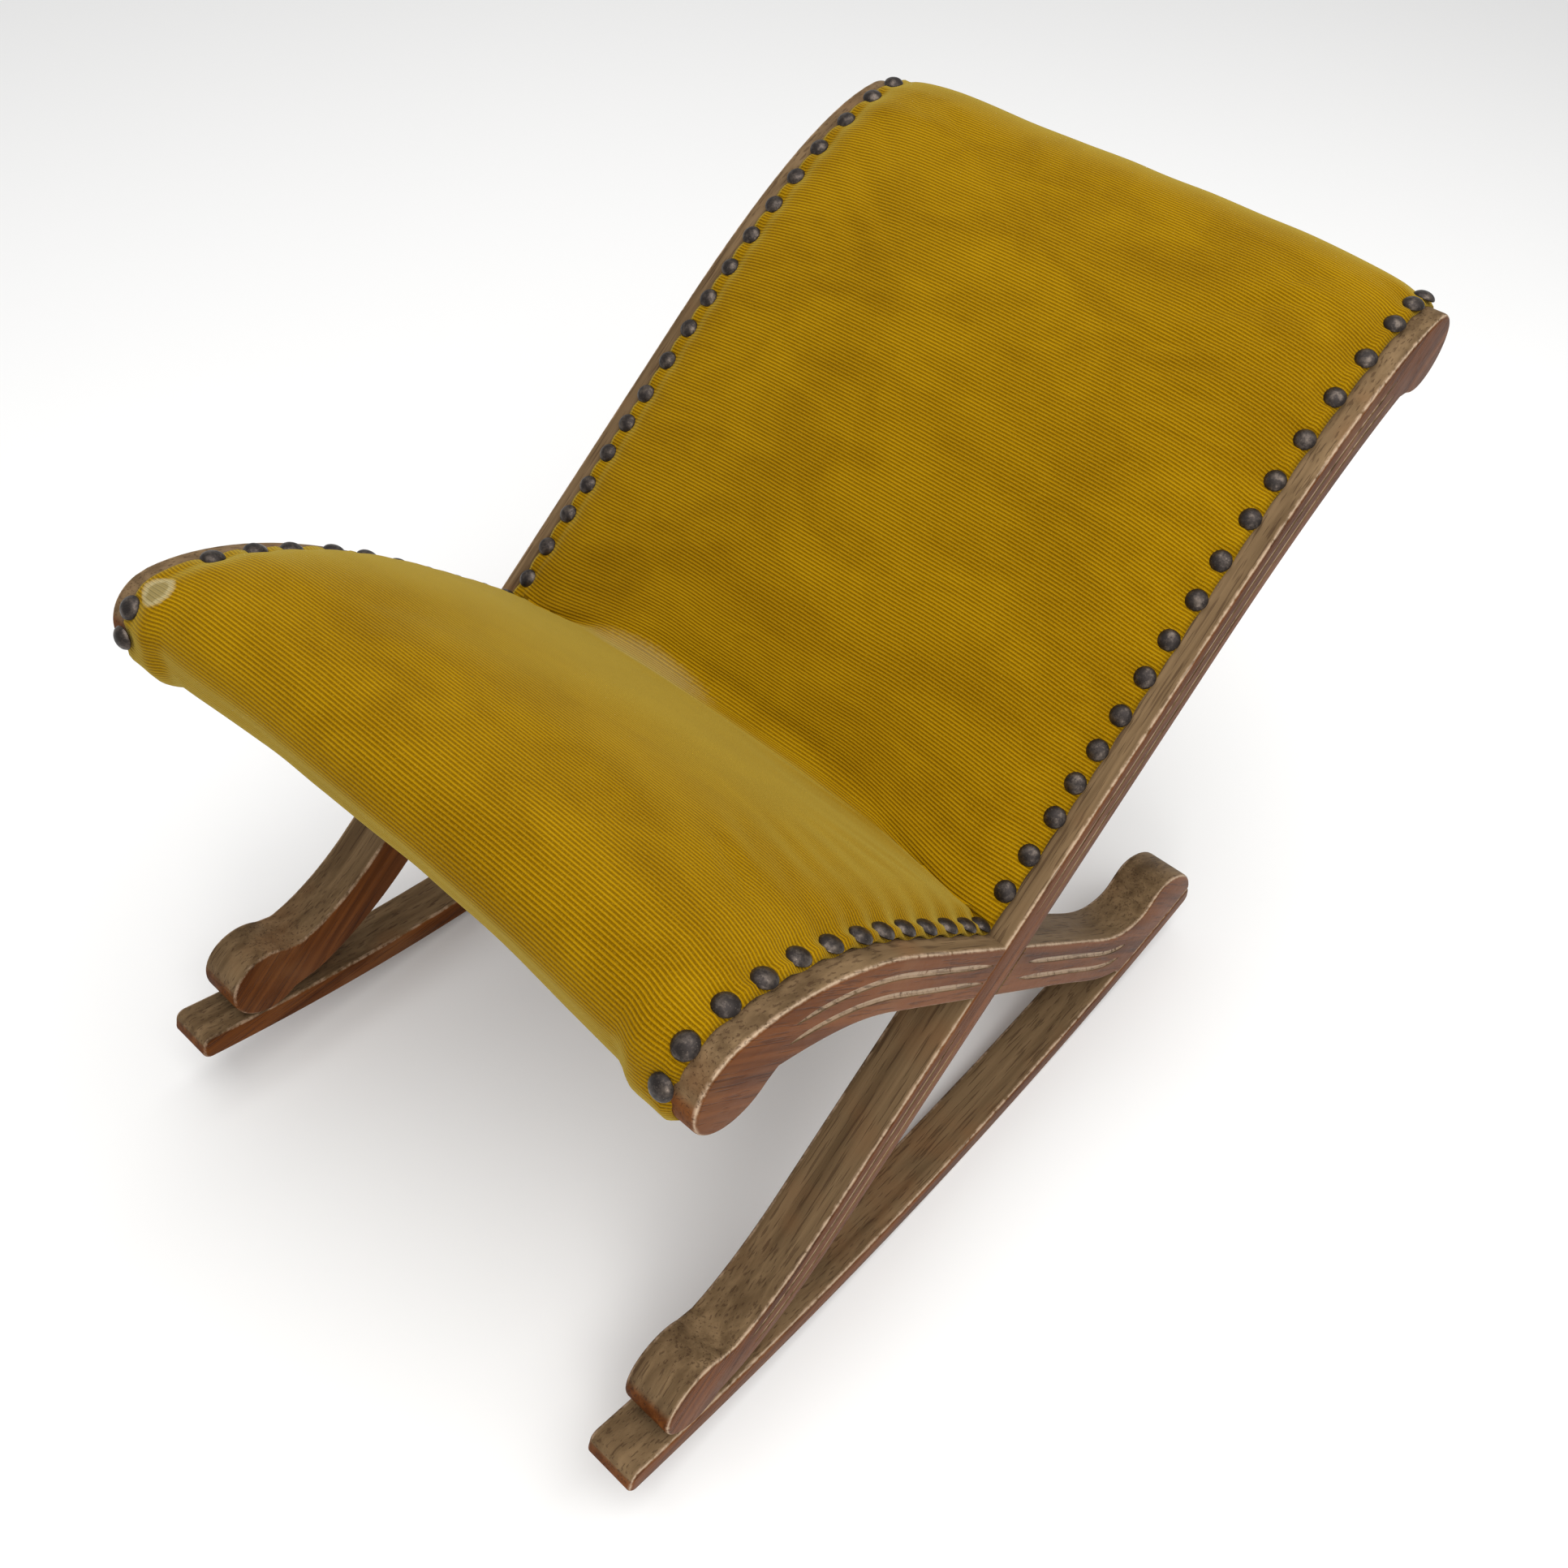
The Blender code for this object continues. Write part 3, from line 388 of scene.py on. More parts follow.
def grain_group():
    """Straight grain, pores and broad fading. The vector's Y axis runs along the grain."""
    group, given, out = new_group(
        "wood_grain", [("Vector", "NodeSocketVector", None)],
        [("Grain", "NodeSocketFloat"), ("Pores", "NodeSocketFloat"),
         ("Fading", "NodeSocketFloat")])
    vector = given.outputs["Vector"]
    streaks = noise_node(group, stretched(group, vector, (190, 5, 190)), 1.0, 5, 0.6, 0.4)
    bands = noise_node(group, stretched(group, vector, (55, 2.2, 55)), 1.0, 3, 0.5, 1.2)
    grain = math_node(group, "ADD", math_node(group, "MULTIPLY", streaks, 0.5),
                      math_node(group, "MULTIPLY", bands, 0.5))
    pores = noise_node(group, stretched(group, vector, (900, 34, 900)), 1.0, 2, 0.5)
    group.links.new(grain, out.inputs["Grain"])
    group.links.new(ramp(group, pores, 0.56, 0.66), out.inputs["Pores"])
    group.links.new(noise_node(group, vector, 17.0, 3, 0.6), out.inputs["Fading"])
    return group


def edge_group():
    """How far a spot turns away from the flat faces, and where it faces, from its normal."""
    group, given, out = new_group(
        "worn_and_highlit_edges", [("Vector", "NodeSocketVector", None)],
        [("Edge", "NodeSocketFloat"), ("Side", "NodeSocketFloat"),
         ("Up", "NodeSocketFloat")])
    parts = group.nodes.new("ShaderNodeSeparateXYZ")
    normal = group.nodes.new("ShaderNodeNewGeometry").outputs["Normal"]
    group.links.new(normal, parts.inputs[0])
    across = math_node(group, "ABSOLUTE", parts.outputs["X"])
    rounded = math_node(group, "MULTIPLY", ramp(group, across, 0.10, 0.45),
                        ramp(group, across, 0.97, 0.80))
    breaks = noise_node(group, given.outputs["Vector"], 95.0, 4, 0.7)
    # Edge: the rounded edges, paler for rubbed wear and a painted edge highlight.
    wear_and_highlight = math_node(group, "MULTIPLY", rounded, ramp(group, breaks, 0.36, 0.58))
    group.links.new(wear_and_highlight, out.inputs["Edge"])
    group.links.new(ramp(group, across, 0.6, 0.95), out.inputs["Side"])
    group.links.new(ramp(group, parts.outputs["Z"], 0.1, 0.7), out.inputs["Up"])
    return group


GRAIN = grain_group()
EDGES = edge_group()


def use_group(tree, group, vector):
    made = tree.nodes.new("ShaderNodeGroup")
    made.node_tree = group
    tree.links.new(vector, made.inputs["Vector"])
    return made.outputs


def in_grooves(tree, here):
    """Where old wax has gathered: just below the outer faces of the side frames."""
    place = tree.nodes.new("ShaderNodeSeparateXYZ")
    tree.links.new(here, place.inputs[0])
    across = math_node(tree, "ABSOLUTE", place.outputs["X"])
    face = WIDTH / 2
    deep = ramp(tree, across, face - 0.0003, face - 0.0009)
    outer = ramp(tree, across, face - 0.0032, face - 0.0026)
    turned = tree.nodes.new("ShaderNodeSeparateXYZ")
    tree.links.new(tree.nodes.new("ShaderNodeNewGeometry").outputs["Normal"],
                   turned.inputs[0])
    facing = ramp(tree, math_node(tree, "ABSOLUTE", turned.outputs["X"]), 0.35, 0.75)
    return math_node(tree, "MULTIPLY", math_node(tree, "MULTIPLY", deep, outer), facing)


def old_polish(name, turn):
    """Old polished walnut: red-brown sides, greyer and paler faces turned up, rounded edges
    pale with rubbed wear and a painted edge highlight.
    """
    paint, tree, body = shader(name)
    here = tree.nodes.new("ShaderNodeTexCoord").outputs["Object"]
    along = stretched(tree, here, (1, 1, 1), (-turn, 0, 0))
    grain = use_group(tree, GRAIN, along)
    edge = use_group(tree, EDGES, here)
    fade = grain["Fading"]
    figure = ramp(tree, grain["Grain"], 0.30, 0.70)
    red = mix(tree, figure, (0.056, 0.016, 0.004), (0.165, 0.054, 0.013))
    grey = mix(tree, figure, (0.078, 0.048, 0.024), (0.205, 0.134, 0.070))
    # Greyer and paler where the surface faces up; the outer side faces keep the red-brown.
    greyer_upward = ramp(tree, math_node(tree, "ADD", edge["Up"],
                                   math_node(tree, "MULTIPLY", fade, 0.5)), 0.35, 1.0)
    colour = mix(tree, edge["Side"], mix(tree, greyer_upward, red, grey), red)
    colour = mix(tree, math_node(tree, "MULTIPLY", ramp(tree, fade, 0.50, 0.74), 0.45),
                 colour, (0.180, 0.082, 0.034))
    dust = noise_node(tree, here, 240.0, 3, 0.7)
    # Paler on the rounded edges: rubbed wear with a painted edge highlight.
    rubbed_and_highlit = math_node(tree, "MULTIPLY", edge["Edge"], ramp(tree, dust, 0.30, 0.62))
    colour = mix(tree, math_node(tree, "MULTIPLY", rubbed_and_highlit, 0.65), colour,
                 (0.430, 0.300, 0.200))
    wax = math_node(tree, "MULTIPLY", in_grooves(tree, here), ramp(tree, dust, 0.26, 0.50))
    colour = mix(tree, math_node(tree, "MULTIPLY", wax, 0.8), colour,
                 (0.540, 0.410, 0.290))
    colour = mix(tree, math_node(tree, "MULTIPLY", grain["Pores"], 0.45), colour,
                 (0.028, 0.012, 0.008))
    tree.links.new(colour, body.inputs["Base Color"])
    gloss = math_node(tree, "ADD", math_node(tree, "MULTIPLY", edge["Side"], -0.16),
                      math_node(tree, "ADD", 0.47,
                                math_node(tree, "MULTIPLY", dust, 0.18)))
    tree.links.new(gloss, body.inputs["Roughness"])
    height = math_node(tree, "SUBTRACT", math_node(tree, "MULTIPLY", grain["Grain"], 0.6),
                       math_node(tree, "MULTIPLY", grain["Pores"], 0.5))
    height = math_node(tree, "ADD", height, math_node(tree, "MULTIPLY", fade, 1.6))
    roughen(tree, body, height, 0.55, 0.0006)
    body.inputs["Specular Tint"].default_value = (0.60, 0.36, 0.22, 1.0)
    body.inputs["Specular IOR Level"].default_value = 0.04
    return paint


def plain_beech(name):
    """Unpolished beech for the rails, pegs and dowels under the cover."""
    paint, tree, body = shader(name)
    here = tree.nodes.new("ShaderNodeTexCoord").outputs["Object"]
    grain = use_group(tree, GRAIN, stretched(tree, here, (1, 1, 1), (0, 0, math.pi / 2)))
    colour = mix(tree, ramp(tree, grain["Grain"], 0.34, 0.68), (0.300, 0.180, 0.092),
                 (0.520, 0.360, 0.205))
    colour = mix(tree, math_node(tree, "MULTIPLY", ramp(tree, grain["Fading"], 0.5, 0.8),
                                 0.5), colour, (0.210, 0.125, 0.068))
    colour = mix(tree, math_node(tree, "MULTIPLY", grain["Pores"], 0.5), colour,
                 (0.130, 0.070, 0.035))
    tree.links.new(colour, body.inputs["Base Color"])
    tree.links.new(ramp(tree, grain["Grain"], 0.2, 0.8, 0.55, 0.72),
                   body.inputs["Roughness"])
    roughen(tree, body, grain["Grain"], 0.4, 0.0004)
    return paint


def ribbed_velvet(name):
    """Gold velvet with ribs across the stool, a painted sheen where it is seen edge-on, and
    painted shade between the ribs. Its map is metres across and along.
    """
    paint, tree, body = shader(name)
    here = tree.nodes.new("ShaderNodeTexCoord")
    cloth = here.outputs["UV"]
    parts = tree.nodes.new("ShaderNodeSeparateXYZ")
    tree.links.new(cloth, parts.inputs[0])
    drift = math_node(tree, "MULTIPLY", noise_node(tree, cloth, 30.0, 2, 0.5), 1.6)
    phase = math_node(tree, "MULTIPLY", parts.outputs["Y"], 2 * math.pi / RIB_PITCH)
    wave = math_node(tree, "SINE", math_node(tree, "ADD", phase, drift))
    rib = ramp(tree, wave, -0.9, 0.6)
    broad = noise_node(tree, cloth, 7.0, 4, 0.62, 0.6)
    smudge = noise_node(tree, stretched(tree, cloth, (18, 42, 1)), 1.0, 4, 0.65, 0.8)
    pile = noise_node(tree, stretched(tree, cloth, (1500, 900, 1)), 1.0, 2, 0.6)
    nap = math_node(tree, "ADD", math_node(tree, "MULTIPLY", broad, 0.6),
                    math_node(tree, "MULTIPLY", smudge, 0.4))
    # The darker colour between the ribs is painted shade in the rib hollows.
    top = mix(tree, ramp(tree, nap, 0.32, 0.68), (0.245, 0.126, 0.0012),
              (0.335, 0.186, 0.0022))
    low = mix(tree, ramp(tree, nap, 0.32, 0.68), (0.125, 0.060, 0.0006),
              (0.180, 0.092, 0.0010))
    colour = mix(tree, rib, low, top)
    colour = mix(tree, math_node(tree, "MULTIPLY", ramp(tree, pile, 0.45, 0.75), 0.22),
                 colour, (0.480, 0.300, 0.020))
    # Painted sheen: the base colour turns pale olive where the cloth is seen edge-on.
    leaning = tree.nodes.new("ShaderNodeLayerWeight")
    leaning.inputs["Blend"].default_value = 0.5
    painted_sheen_share = ramp(tree, leaning.outputs["Facing"], 0.45, 0.95)
    colour = mix(tree, math_node(tree, "MULTIPLY", painted_sheen_share, 0.7), colour,
                 (0.370, 0.275, 0.045))
    colour = rubbed_patches(tree, cloth, parts, colour)
    tree.links.new(colour, body.inputs["Base Color"])
    body.inputs["Roughness"].default_value = 0.88
    body.inputs["Sheen Weight"].default_value = 0.12
    body.inputs["Sheen Roughness"].default_value = 0.35
    body.inputs["Sheen Tint"].default_value = (1.0, 0.76, 0.18, 1.0)
    body.inputs["Specular Tint"].default_value = (0.80, 0.50, 0.06, 1.0)
    body.inputs["Specular IOR Level"].default_value = 0.08
    height = math_node(tree, "ADD", rib, math_node(tree, "MULTIPLY", pile, 0.30))
    roughen(tree, body, height, 0.8, 0.00045)
    return paint


def spot(tree, parts, centre, half):
    """Squared distance from a spot on the cloth, 1 at the rim of an oval."""
    total = None
    for axis, middle, reach in zip("XY", centre, half):
        away = math_node(tree, "DIVIDE", math_node(tree, "SUBTRACT", parts.outputs[axis],
                                                   middle), reach)
        square = math_node(tree, "MULTIPLY", away, away)
        total = square if total is None else math_node(tree, "ADD", total, square)
    return total


def rubbed_patches(tree, cloth, parts, colour):
    """A small oval rubbed bald by the left front scroll, and matted pile in the valley."""
    ragged = math_node(tree, "MULTIPLY", noise_node(tree, cloth, 420.0, 3, 0.7), 1.1)
    bald = math_node(tree, "ADD", spot(tree, parts, (-0.1517, 0.0535), (0.0074, 0.0066)),
                     math_node(tree, "SUBTRACT", ragged, 0.55))
    inside = ramp(tree, bald, 1.20, 0.80)
    rim = math_node(tree, "MULTIPLY", ramp(tree, bald, 0.40, 0.85),
                    ramp(tree, bald, 1.70, 1.10))
    colour = mix(tree, math_node(tree, "MULTIPLY", inside, 0.85), colour,
                 (0.255, 0.205, 0.090))
    colour = mix(tree, math_node(tree, "MULTIPLY", rim, 0.6), colour,
                 (0.440, 0.370, 0.200))
    matted = math_node(tree, "ADD", spot(tree, parts, (-0.056, 0.275), (0.046, 0.012)),
                       math_node(tree, "SUBTRACT", ragged, 0.55))
    return mix(tree, ramp(tree, matted, 1.3, 0.1, 0.0, 0.34), colour,
               (0.330, 0.270, 0.130))


def weave_group():
    """A plain weave of two sets of threads, one thread to each unit of the vector."""
    group, given, out = new_group(
        "plain_weave", [("Vector", "NodeSocketVector", None)],
        [("Height", "NodeSocketFloat"), ("Warp", "NodeSocketFloat")])
    parts = group.nodes.new("ShaderNodeSeparateXYZ")
    group.links.new(given.outputs["Vector"], parts.inputs[0])
    waves = []
    for axis in ("X", "Y"):
        turn = math_node(group, "MULTIPLY", parts.outputs[axis], math.pi)
        waves.append(math_node(group, "SINE", turn))
    warp = math_node(group, "ABSOLUTE", waves[0])
    weft = math_node(group, "ABSOLUTE", waves[1])
    over = math_node(group, "GREATER_THAN", math_node(group, "MULTIPLY", *waves), 0.0)
    under = math_node(group, "SUBTRACT", 1.0, over)
    height = math_node(group, "ADD", math_node(group, "MULTIPLY", warp, over),
                       math_node(group, "MULTIPLY", weft, under))
    group.links.new(height, out.inputs["Height"])
    group.links.new(over, out.inputs["Warp"])
    return group


WEAVE = weave_group()


def woven(name, dark, light, pitch):
    """Coarse cloth. Its map is metres across and along."""
    paint, tree, body = shader(name)
    cloth = tree.nodes.new("ShaderNodeTexCoord").outputs["UV"]
    threads = use_group(tree, WEAVE, stretched(tree, cloth, (1 / pitch, 1 / pitch, 1)))
    slubs = noise_node(tree, stretched(tree, cloth, (60, 240, 1)), 1.0, 4, 0.65)
    # Darker where each thread dips under its neighbour: painted shade of the weave relief,
    # varied at random by the slubs.
    colour = mix(tree, math_node(tree, "MULTIPLY", threads["Height"],
                                 ramp(tree, slubs, 0.25, 0.75, 0.55, 1.0)), dark, light)
    tree.links.new(colour, body.inputs["Base Color"])
    body.inputs["Roughness"].default_value = 0.92
    roughen(tree, body, threads["Height"], 0.8, pitch * 0.3)
    return paint


def dark_brass(name):
    """Antique brass nail heads: brown lacquer rubbed to dull metal on the domes."""
    paint, tree, body = shader(name)
    here = tree.nodes.new("ShaderNodeTexCoord").outputs["Object"]
    blotch = noise_node(tree, here, 260.0, 4, 0.65)
    speck = noise_node(tree, here, 1400.0, 2, 0.6)
    colour = mix(tree, ramp(tree, blotch, 0.42, 0.70), (0.032, 0.026, 0.024),
                 (0.105, 0.084, 0.070))
    colour = mix(tree, math_node(tree, "MULTIPLY", ramp(tree, speck, 0.62, 0.75), 0.4),
                 colour, (0.240, 0.200, 0.160))
    tree.links.new(colour, body.inputs["Base Color"])
    body.inputs["Metallic"].default_value = 0.85
    tree.links.new(ramp(tree, blotch, 0.3, 0.7, 0.52, 0.34), body.inputs["Roughness"])
    roughen(tree, body, blotch, 0.35, 0.0003)
    return paint


def dull_steel(name):
    paint, tree, body = shader(name)
    here = tree.nodes.new("ShaderNodeTexCoord").outputs["Object"]
    rust = noise_node(tree, here, 420.0, 4, 0.7)
    colour = mix(tree, ramp(tree, rust, 0.50, 0.68), (0.330, 0.315, 0.300),
                 (0.150, 0.075, 0.040))
    tree.links.new(colour, body.inputs["Base Color"])
    tree.links.new(ramp(tree, rust, 0.48, 0.66, 1.0, 0.25), body.inputs["Metallic"])
    tree.links.new(ramp(tree, rust, 0.4, 0.7, 0.38, 0.80), body.inputs["Roughness"])
    return paint


LONG_WALNUT = old_polish("walnut_long_rails", BACK_ANGLE)
SEAT_WALNUT = old_polish("walnut_seat_rails", -SEAT_ANGLE)
ROCKER_WALNUT = old_polish("walnut_rockers", 0.0)
BEECH = plain_beech("beech")
VELVET = ribbed_velvet("gold_velvet")
HESSIAN = woven("hessian", (0.110, 0.070, 0.032), (0.420, 0.310, 0.180), 0.0017)
JUTE = woven("jute_webbing", (0.060, 0.032, 0.014), (0.270, 0.165, 0.078), 0.0024)
BRASS = dark_brass("antique_brass")
STEEL = dull_steel("screw_steel")


# ---- making pieces --------------------------------------------------------------------
def deselect():
    if bpy.context.object and bpy.context.object.mode != "OBJECT":
        bpy.ops.object.mode_set(mode="OBJECT")
    bpy.ops.object.select_all(action="DESELECT")


def work_on(piece):
    deselect()
    piece.select_set(True)
    bpy.context.view_layer.objects.active = piece


def settle(piece):
    """Leaves the piece at the origin, unturned and unscaled."""
    work_on(piece)
    bpy.ops.object.transform_apply(location=True, rotation=True, scale=True)


def smooth(piece, angle=35):
    work_on(piece)
    bpy.ops.object.shade_smooth_by_angle(angle=math.radians(angle))


def apply_modifiers(piece):
    work_on(piece)
    for name in [modifier.name for modifier in piece.modifiers]:
        bpy.ops.object.modifier_apply(modifier=name)


def dress(piece, paint, slot, *nodes):
    """Gives a finished piece its material and its place on the stool."""
    piece.data.materials.clear()
    piece.data.materials.append(paint)
    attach(piece, "root")
    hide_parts(*nodes)
    return piece


def board(name, outline, x, thick, round_over=0.0):
    """A board sawn to an outline in (y, z), centred on x, with its edges rounded over."""
    deselect()
    bpy.ops.mesh.primitive_circle_add(vertices=len(outline), radius=1, fill_type="NGON")
    piece = bpy.context.object
    piece.name = name
    for vertex, place in zip(piece.data.vertices, outline):
        vertex.co = (x - thick / 2, place.x + SET_BACK, place.y)
    bpy.ops.object.mode_set(mode="EDIT")
    bpy.ops.mesh.select_all(action="SELECT")
    bpy.ops.mesh.extrude_region_move(TRANSFORM_OT_translate={"value": (thick, 0, 0)})
    bpy.ops.mesh.select_all(action="SELECT")
    bpy.ops.mesh.normals_make_consistent(inside=False)
    bpy.ops.mesh.select_all(action="DESELECT")
    bpy.ops.object.mode_set(mode="OBJECT")
    if round_over:
        for edge in piece.data.edges:
            first, second = (piece.data.vertices[index].co.x for index in edge.vertices)
            edge.select = abs(first - second) < 1e-6
        bpy.ops.object.mode_set(mode="EDIT")
        bpy.ops.mesh.select_mode(type="EDGE")
        bpy.ops.mesh.bevel(offset=round_over, segments=4, affect="EDGES",
                           clamp_overlap=False, loop_slide=False)
        bpy.ops.object.mode_set(mode="OBJECT")
    settle(piece)
    return piece


def cut_away(piece, cutter):
    """Cuts one piece with another, which is then thrown away."""
    knife = piece.modifiers.new("cut", "BOOLEAN")
    knife.operation = "DIFFERENCE"
    knife.solver = "EXACT"
    knife.object = cutter
    apply_modifiers(piece)
    bpy.data.objects.remove(cutter)


def bar(name, centre, angle, x, thick, depth):
    """A plain bar through a point in (y, z), turned in the side frame's plane."""
    deselect()
    bpy.ops.mesh.primitive_cube_add(size=1, location=(x, centre.x + SET_BACK, centre.y),
                                    rotation=(angle, 0, 0))
    piece = bpy.context.object
    piece.name = name
    piece.scale = (thick, 3 * RAIL_DEPTH, depth)
    settle(piece)
    return piece


def gouge(name, tracks, x):
    """Round-nosed gouge cuts along tracks in (y, z), running out at both ends."""
    curve = bpy.data.curves.new(name, "CURVE")
    curve.dimensions = "3D"
    curve.bevel_depth = GROOVE_RADIUS
    curve.bevel_resolution = 3
    curve.use_fill_caps = True
    for track in tracks:
        spline = curve.splines.new("POLY")
        spline.points.add(len(track) - 1)
        for index, (point, place) in enumerate(zip(spline.points, track)):
            point.co = (x, place.x + SET_BACK, place.y, 1)
            ends = min(index, len(track) - 1 - index)
            point.radius = (0.25, 0.7)[ends] if ends < 2 else 1.0
    piece = bpy.data.objects.new(name, curve)
    bpy.context.scene.collection.objects.link(piece)
    work_on(piece)
    bpy.ops.object.convert(target="MESH")
    return bpy.context.object


def middle_line(top, under):
    return [(a + b) / 2 for a, b in zip(top, under)]


def beside(line, offset):
    moved = []
    for index, point in enumerate(line):
        before = line[max(index - 1, 0)]
        after = line[min(index + 1, len(line) - 1)]
        along = (after - before).normalized()
        moved.append(point + offset * Vector((-along.y, along.x)))
    return moved


def straight(first, last, count=8):
    return [first.lerp(last, index / count) for index in range(count)]


def groove_tracks():
    """Tracks of the paired grooves on the long rail and on the seat rail."""
    clear = RAIL_DEPTH / 2 + GROOVE_STOP
    under_back = RAIL_DEPTH / 2 * UNDER_BACK
    under_seat = RAIL_DEPTH / 2 * UNDER_SEAT
    long_lines = [
        straight(CROSSING + clear * UP_BACK, BACK_END + under_back)
        + middle_line(back_top(), back_under())[:-3],
        straight(CROSSING - clear * UP_BACK, LEG_END + under_back)
        + middle_line(leg_top()[::-1], leg_under())[:-3]]
    seat_lines = [
        straight(CROSSING + (RAIL_DEPTH / 2 + SEAT_GROOVE_STOP) * UP_SEAT,
                 SEAT_END + under_seat)
        + middle_line(seat_top(), seat_under())[:-4],
        straight(CROSSING - clear * UP_SEAT, HEEL_START + under_seat)
        + middle_line(heel_down(), heel_under()[1:][::-1])[:-2]]
    pair = (-GROOVE_OFFSET, GROOVE_OFFSET)
    return ([beside(line, offset) for line in long_lines for offset in pair],
            [beside(line, offset) for line in seat_lines for offset in pair])


LONG_TRACKS, SEAT_TRACKS = groove_tracks()


def clear_of_rocker(x):
    low = FOOT.x - 1.5 * FOOT_RADIUS
    high = FOOT.x + 2.5 * FOOT_RADIUS
    top = [on_rocker(low + (high - low) * index / 16, 0.0) for index in range(17)]
    drop = Vector((0, -ROCKER_THICK))
    return board("under_foot", top + [top[-1] + drop, top[0] + drop], x,
                 RAIL_THICK + LAP_SLACK)


def side_frame(label, side):
    x = side * (WIDTH / 2 - RAIL_THICK / 2)
    lap = RAIL_THICK / 2 + LAP_SLACK
    face = side * WIDTH / 2
    long_rail = board(f"long_rail_{label}_shaped", long_rail_outline(), x, RAIL_THICK,
                      ROUND_OVER)
    cut_away(long_rail, clear_of_rocker(x))
    cut_away(long_rail, bar("lap", CROSSING, math.pi - SEAT_ANGLE,
                            x - side * (lap - SEAM) / 2, lap, RAIL_DEPTH + SEAM))
    cut_away(long_rail, gouge("reeds", LONG_TRACKS, face))
    smooth(long_rail)
    dress(long_rail, LONG_WALNUT, "polished_walnut", f"long_rail_{label}")

    seat_rail = board(f"seat_rail_{label}_shaped", seat_rail_outline(), x, RAIL_THICK,
                      ROUND_OVER)
    cut_away(seat_rail, bar("lap", CROSSING, BACK_ANGLE,
                            x + side * (lap - SEAM) / 2, lap, RAIL_DEPTH + SEAM))
    cut_away(seat_rail, gouge("reeds", SEAT_TRACKS, face))
    smooth(seat_rail)
    dress(seat_rail, SEAT_WALNUT, "polished_walnut", f"seat_rail_{label}")

    rocker = board(f"rocker_{label}_shaped", rocker_outline(), x, RAIL_THICK, ROUND_OVER)
    smooth(rocker)
    dress(rocker, ROCKER_WALNUT, "polished_walnut", f"rocker_{label}")


# ---- the line that the cover follows -------------------------------------------------
def valley_bend(radius):
    opening = math.pi - BACK_ANGLE - SEAT_ANGLE
    inward = (UP_BACK + UP_SEAT).normalized()
    centre = VALLEY + radius / math.sin(opening / 2) * inward
    first = math.atan2(UNDER_SEAT.y, UNDER_SEAT.x)
    last = math.atan2(UNDER_BACK.y, UNDER_BACK.x)
    return arc(centre, radius, first, last, abs(last - first) / 12 * 1.001)


def wrapped_line(front, front_radius, top, top_radius, bend):
    up = Vector((0, 1))
    start = arc(front, front_radius, math.pi / 2 + FRONT_WRAP, math.pi / 2)
    finish = arc(top, top_radius, math.pi / 2, math.pi / 2 - TOP_WRAP)
    valley = valley_bend(bend)
    seat = seat_top(front + front_radius * up)[::-1]
    back = back_top(top + top_radius * up)
    seat_run = [seat[-1].lerp(valley[0], index / 16) for index in range(1, 16)]
    back_run = [valley[-1].lerp(back[0], index / 24) for index in range(1, 24)]
    return start + seat[1:] + seat_run + valley + back_run + back + finish[1:]


FRAME_LINE = wrapped_line(FRONT_SCROLL, FRONT_RADIUS, TOP_SCROLL, TOP_RADIUS, EDGE_FILLET)
SPAN_LINE = wrapped_line(FRONT_BAR, FRONT_BAR_RADIUS + FIT, TOP_SCROLL, TOP_RADIUS,
                         VALLEY_FILLET)
REACH = [0.0]
for here, there in zip(FRAME_LINE, FRAME_LINE[1:]):
    REACH.append(REACH[-1] + (there - here).length)
LENGTH = REACH[-1]


def reach_of(point):
    return min(zip(REACH, FRAME_LINE), key=lambda pair: (pair[1] - point).length)[0]


FRONT_CROWN = reach_of(FRONT_CREST)
TOP_CROWN = reach_of(TOP_CREST)
BEND = (reach_of(valley_bend(EDGE_FILLET)[0]) + reach_of(valley_bend(EDGE_FILLET)[-1])) / 2


def clamped(value, low=0.0, high=1.0):
    return min(high, max(low, value))


def eased(value, low, high):
    share = clamped((value - low) / (high - low))
    return share * share * (3 - 2 * share)


def sag_at(reach, x):
    """How far the cover has gone from the frames' line to the line between them."""
    share = QUICK_SHARE * (1 - eased(reach, FRONT_CROWN, BEND - 0.05))
    return (share * eased(INNER - abs(x), 0.0, QUICK_SAG)
            + (1 - share) * eased(INNER - abs(x), 0.0, SLOW_SAG))


def along_line(reach, x):
    """Point and outward direction at a distance along the cover, at x across."""
    low, high = 0, len(REACH) - 1
    while high - low > 1:
        middle = (low + high) // 2
        low, high = (middle, high) if REACH[middle] <= reach else (low, middle)
    share = (reach - REACH[low]) / (REACH[high] - REACH[low])
    sag = sag_at(reach, x)

    def blended(index):
        index = min(max(index, 0), len(REACH) - 1)
        return FRAME_LINE[index].lerp(SPAN_LINE[index], sag)
    here, there = blended(low), blended(high)
    entry = (there - blended(low - 1)).normalized()
    leaving = (blended(high + 1) - here).normalized()
    along = entry.lerp(leaving, share).normalized()
    place = here.lerp(there, share)
    return Vector((place.x + SET_BACK, place.y)), Vector((-along.y, along.x))


def strip(name, first, last, half, rows, columns, height):
    """A strip of cloth along the line. height(reach, x) lifts it; its map is in metres."""
    deselect()
    bpy.ops.mesh.primitive_grid_add(x_subdivisions=columns, y_subdivisions=rows, size=2)
    piece = bpy.context.object
    piece.name = name
    flat = [(half * v.co.x, first + (last - first) * (v.co.y + 1) / 2)
            for v in piece.data.vertices]
    for vertex, (x, reach) in zip(piece.data.vertices, flat):
        place, out = along_line(reach, x)
        place = place + height(reach, x) * out
        vertex.co = (x, place.x, place.y)
    lengths = cloth_lengths(piece, flat, rows, columns)
    chart = piece.data.uv_layers.active.data
    for loop in piece.data.loops:
        chart[loop.index].uv = (flat[loop.vertex_index][0], lengths[loop.vertex_index])
    return piece, flat


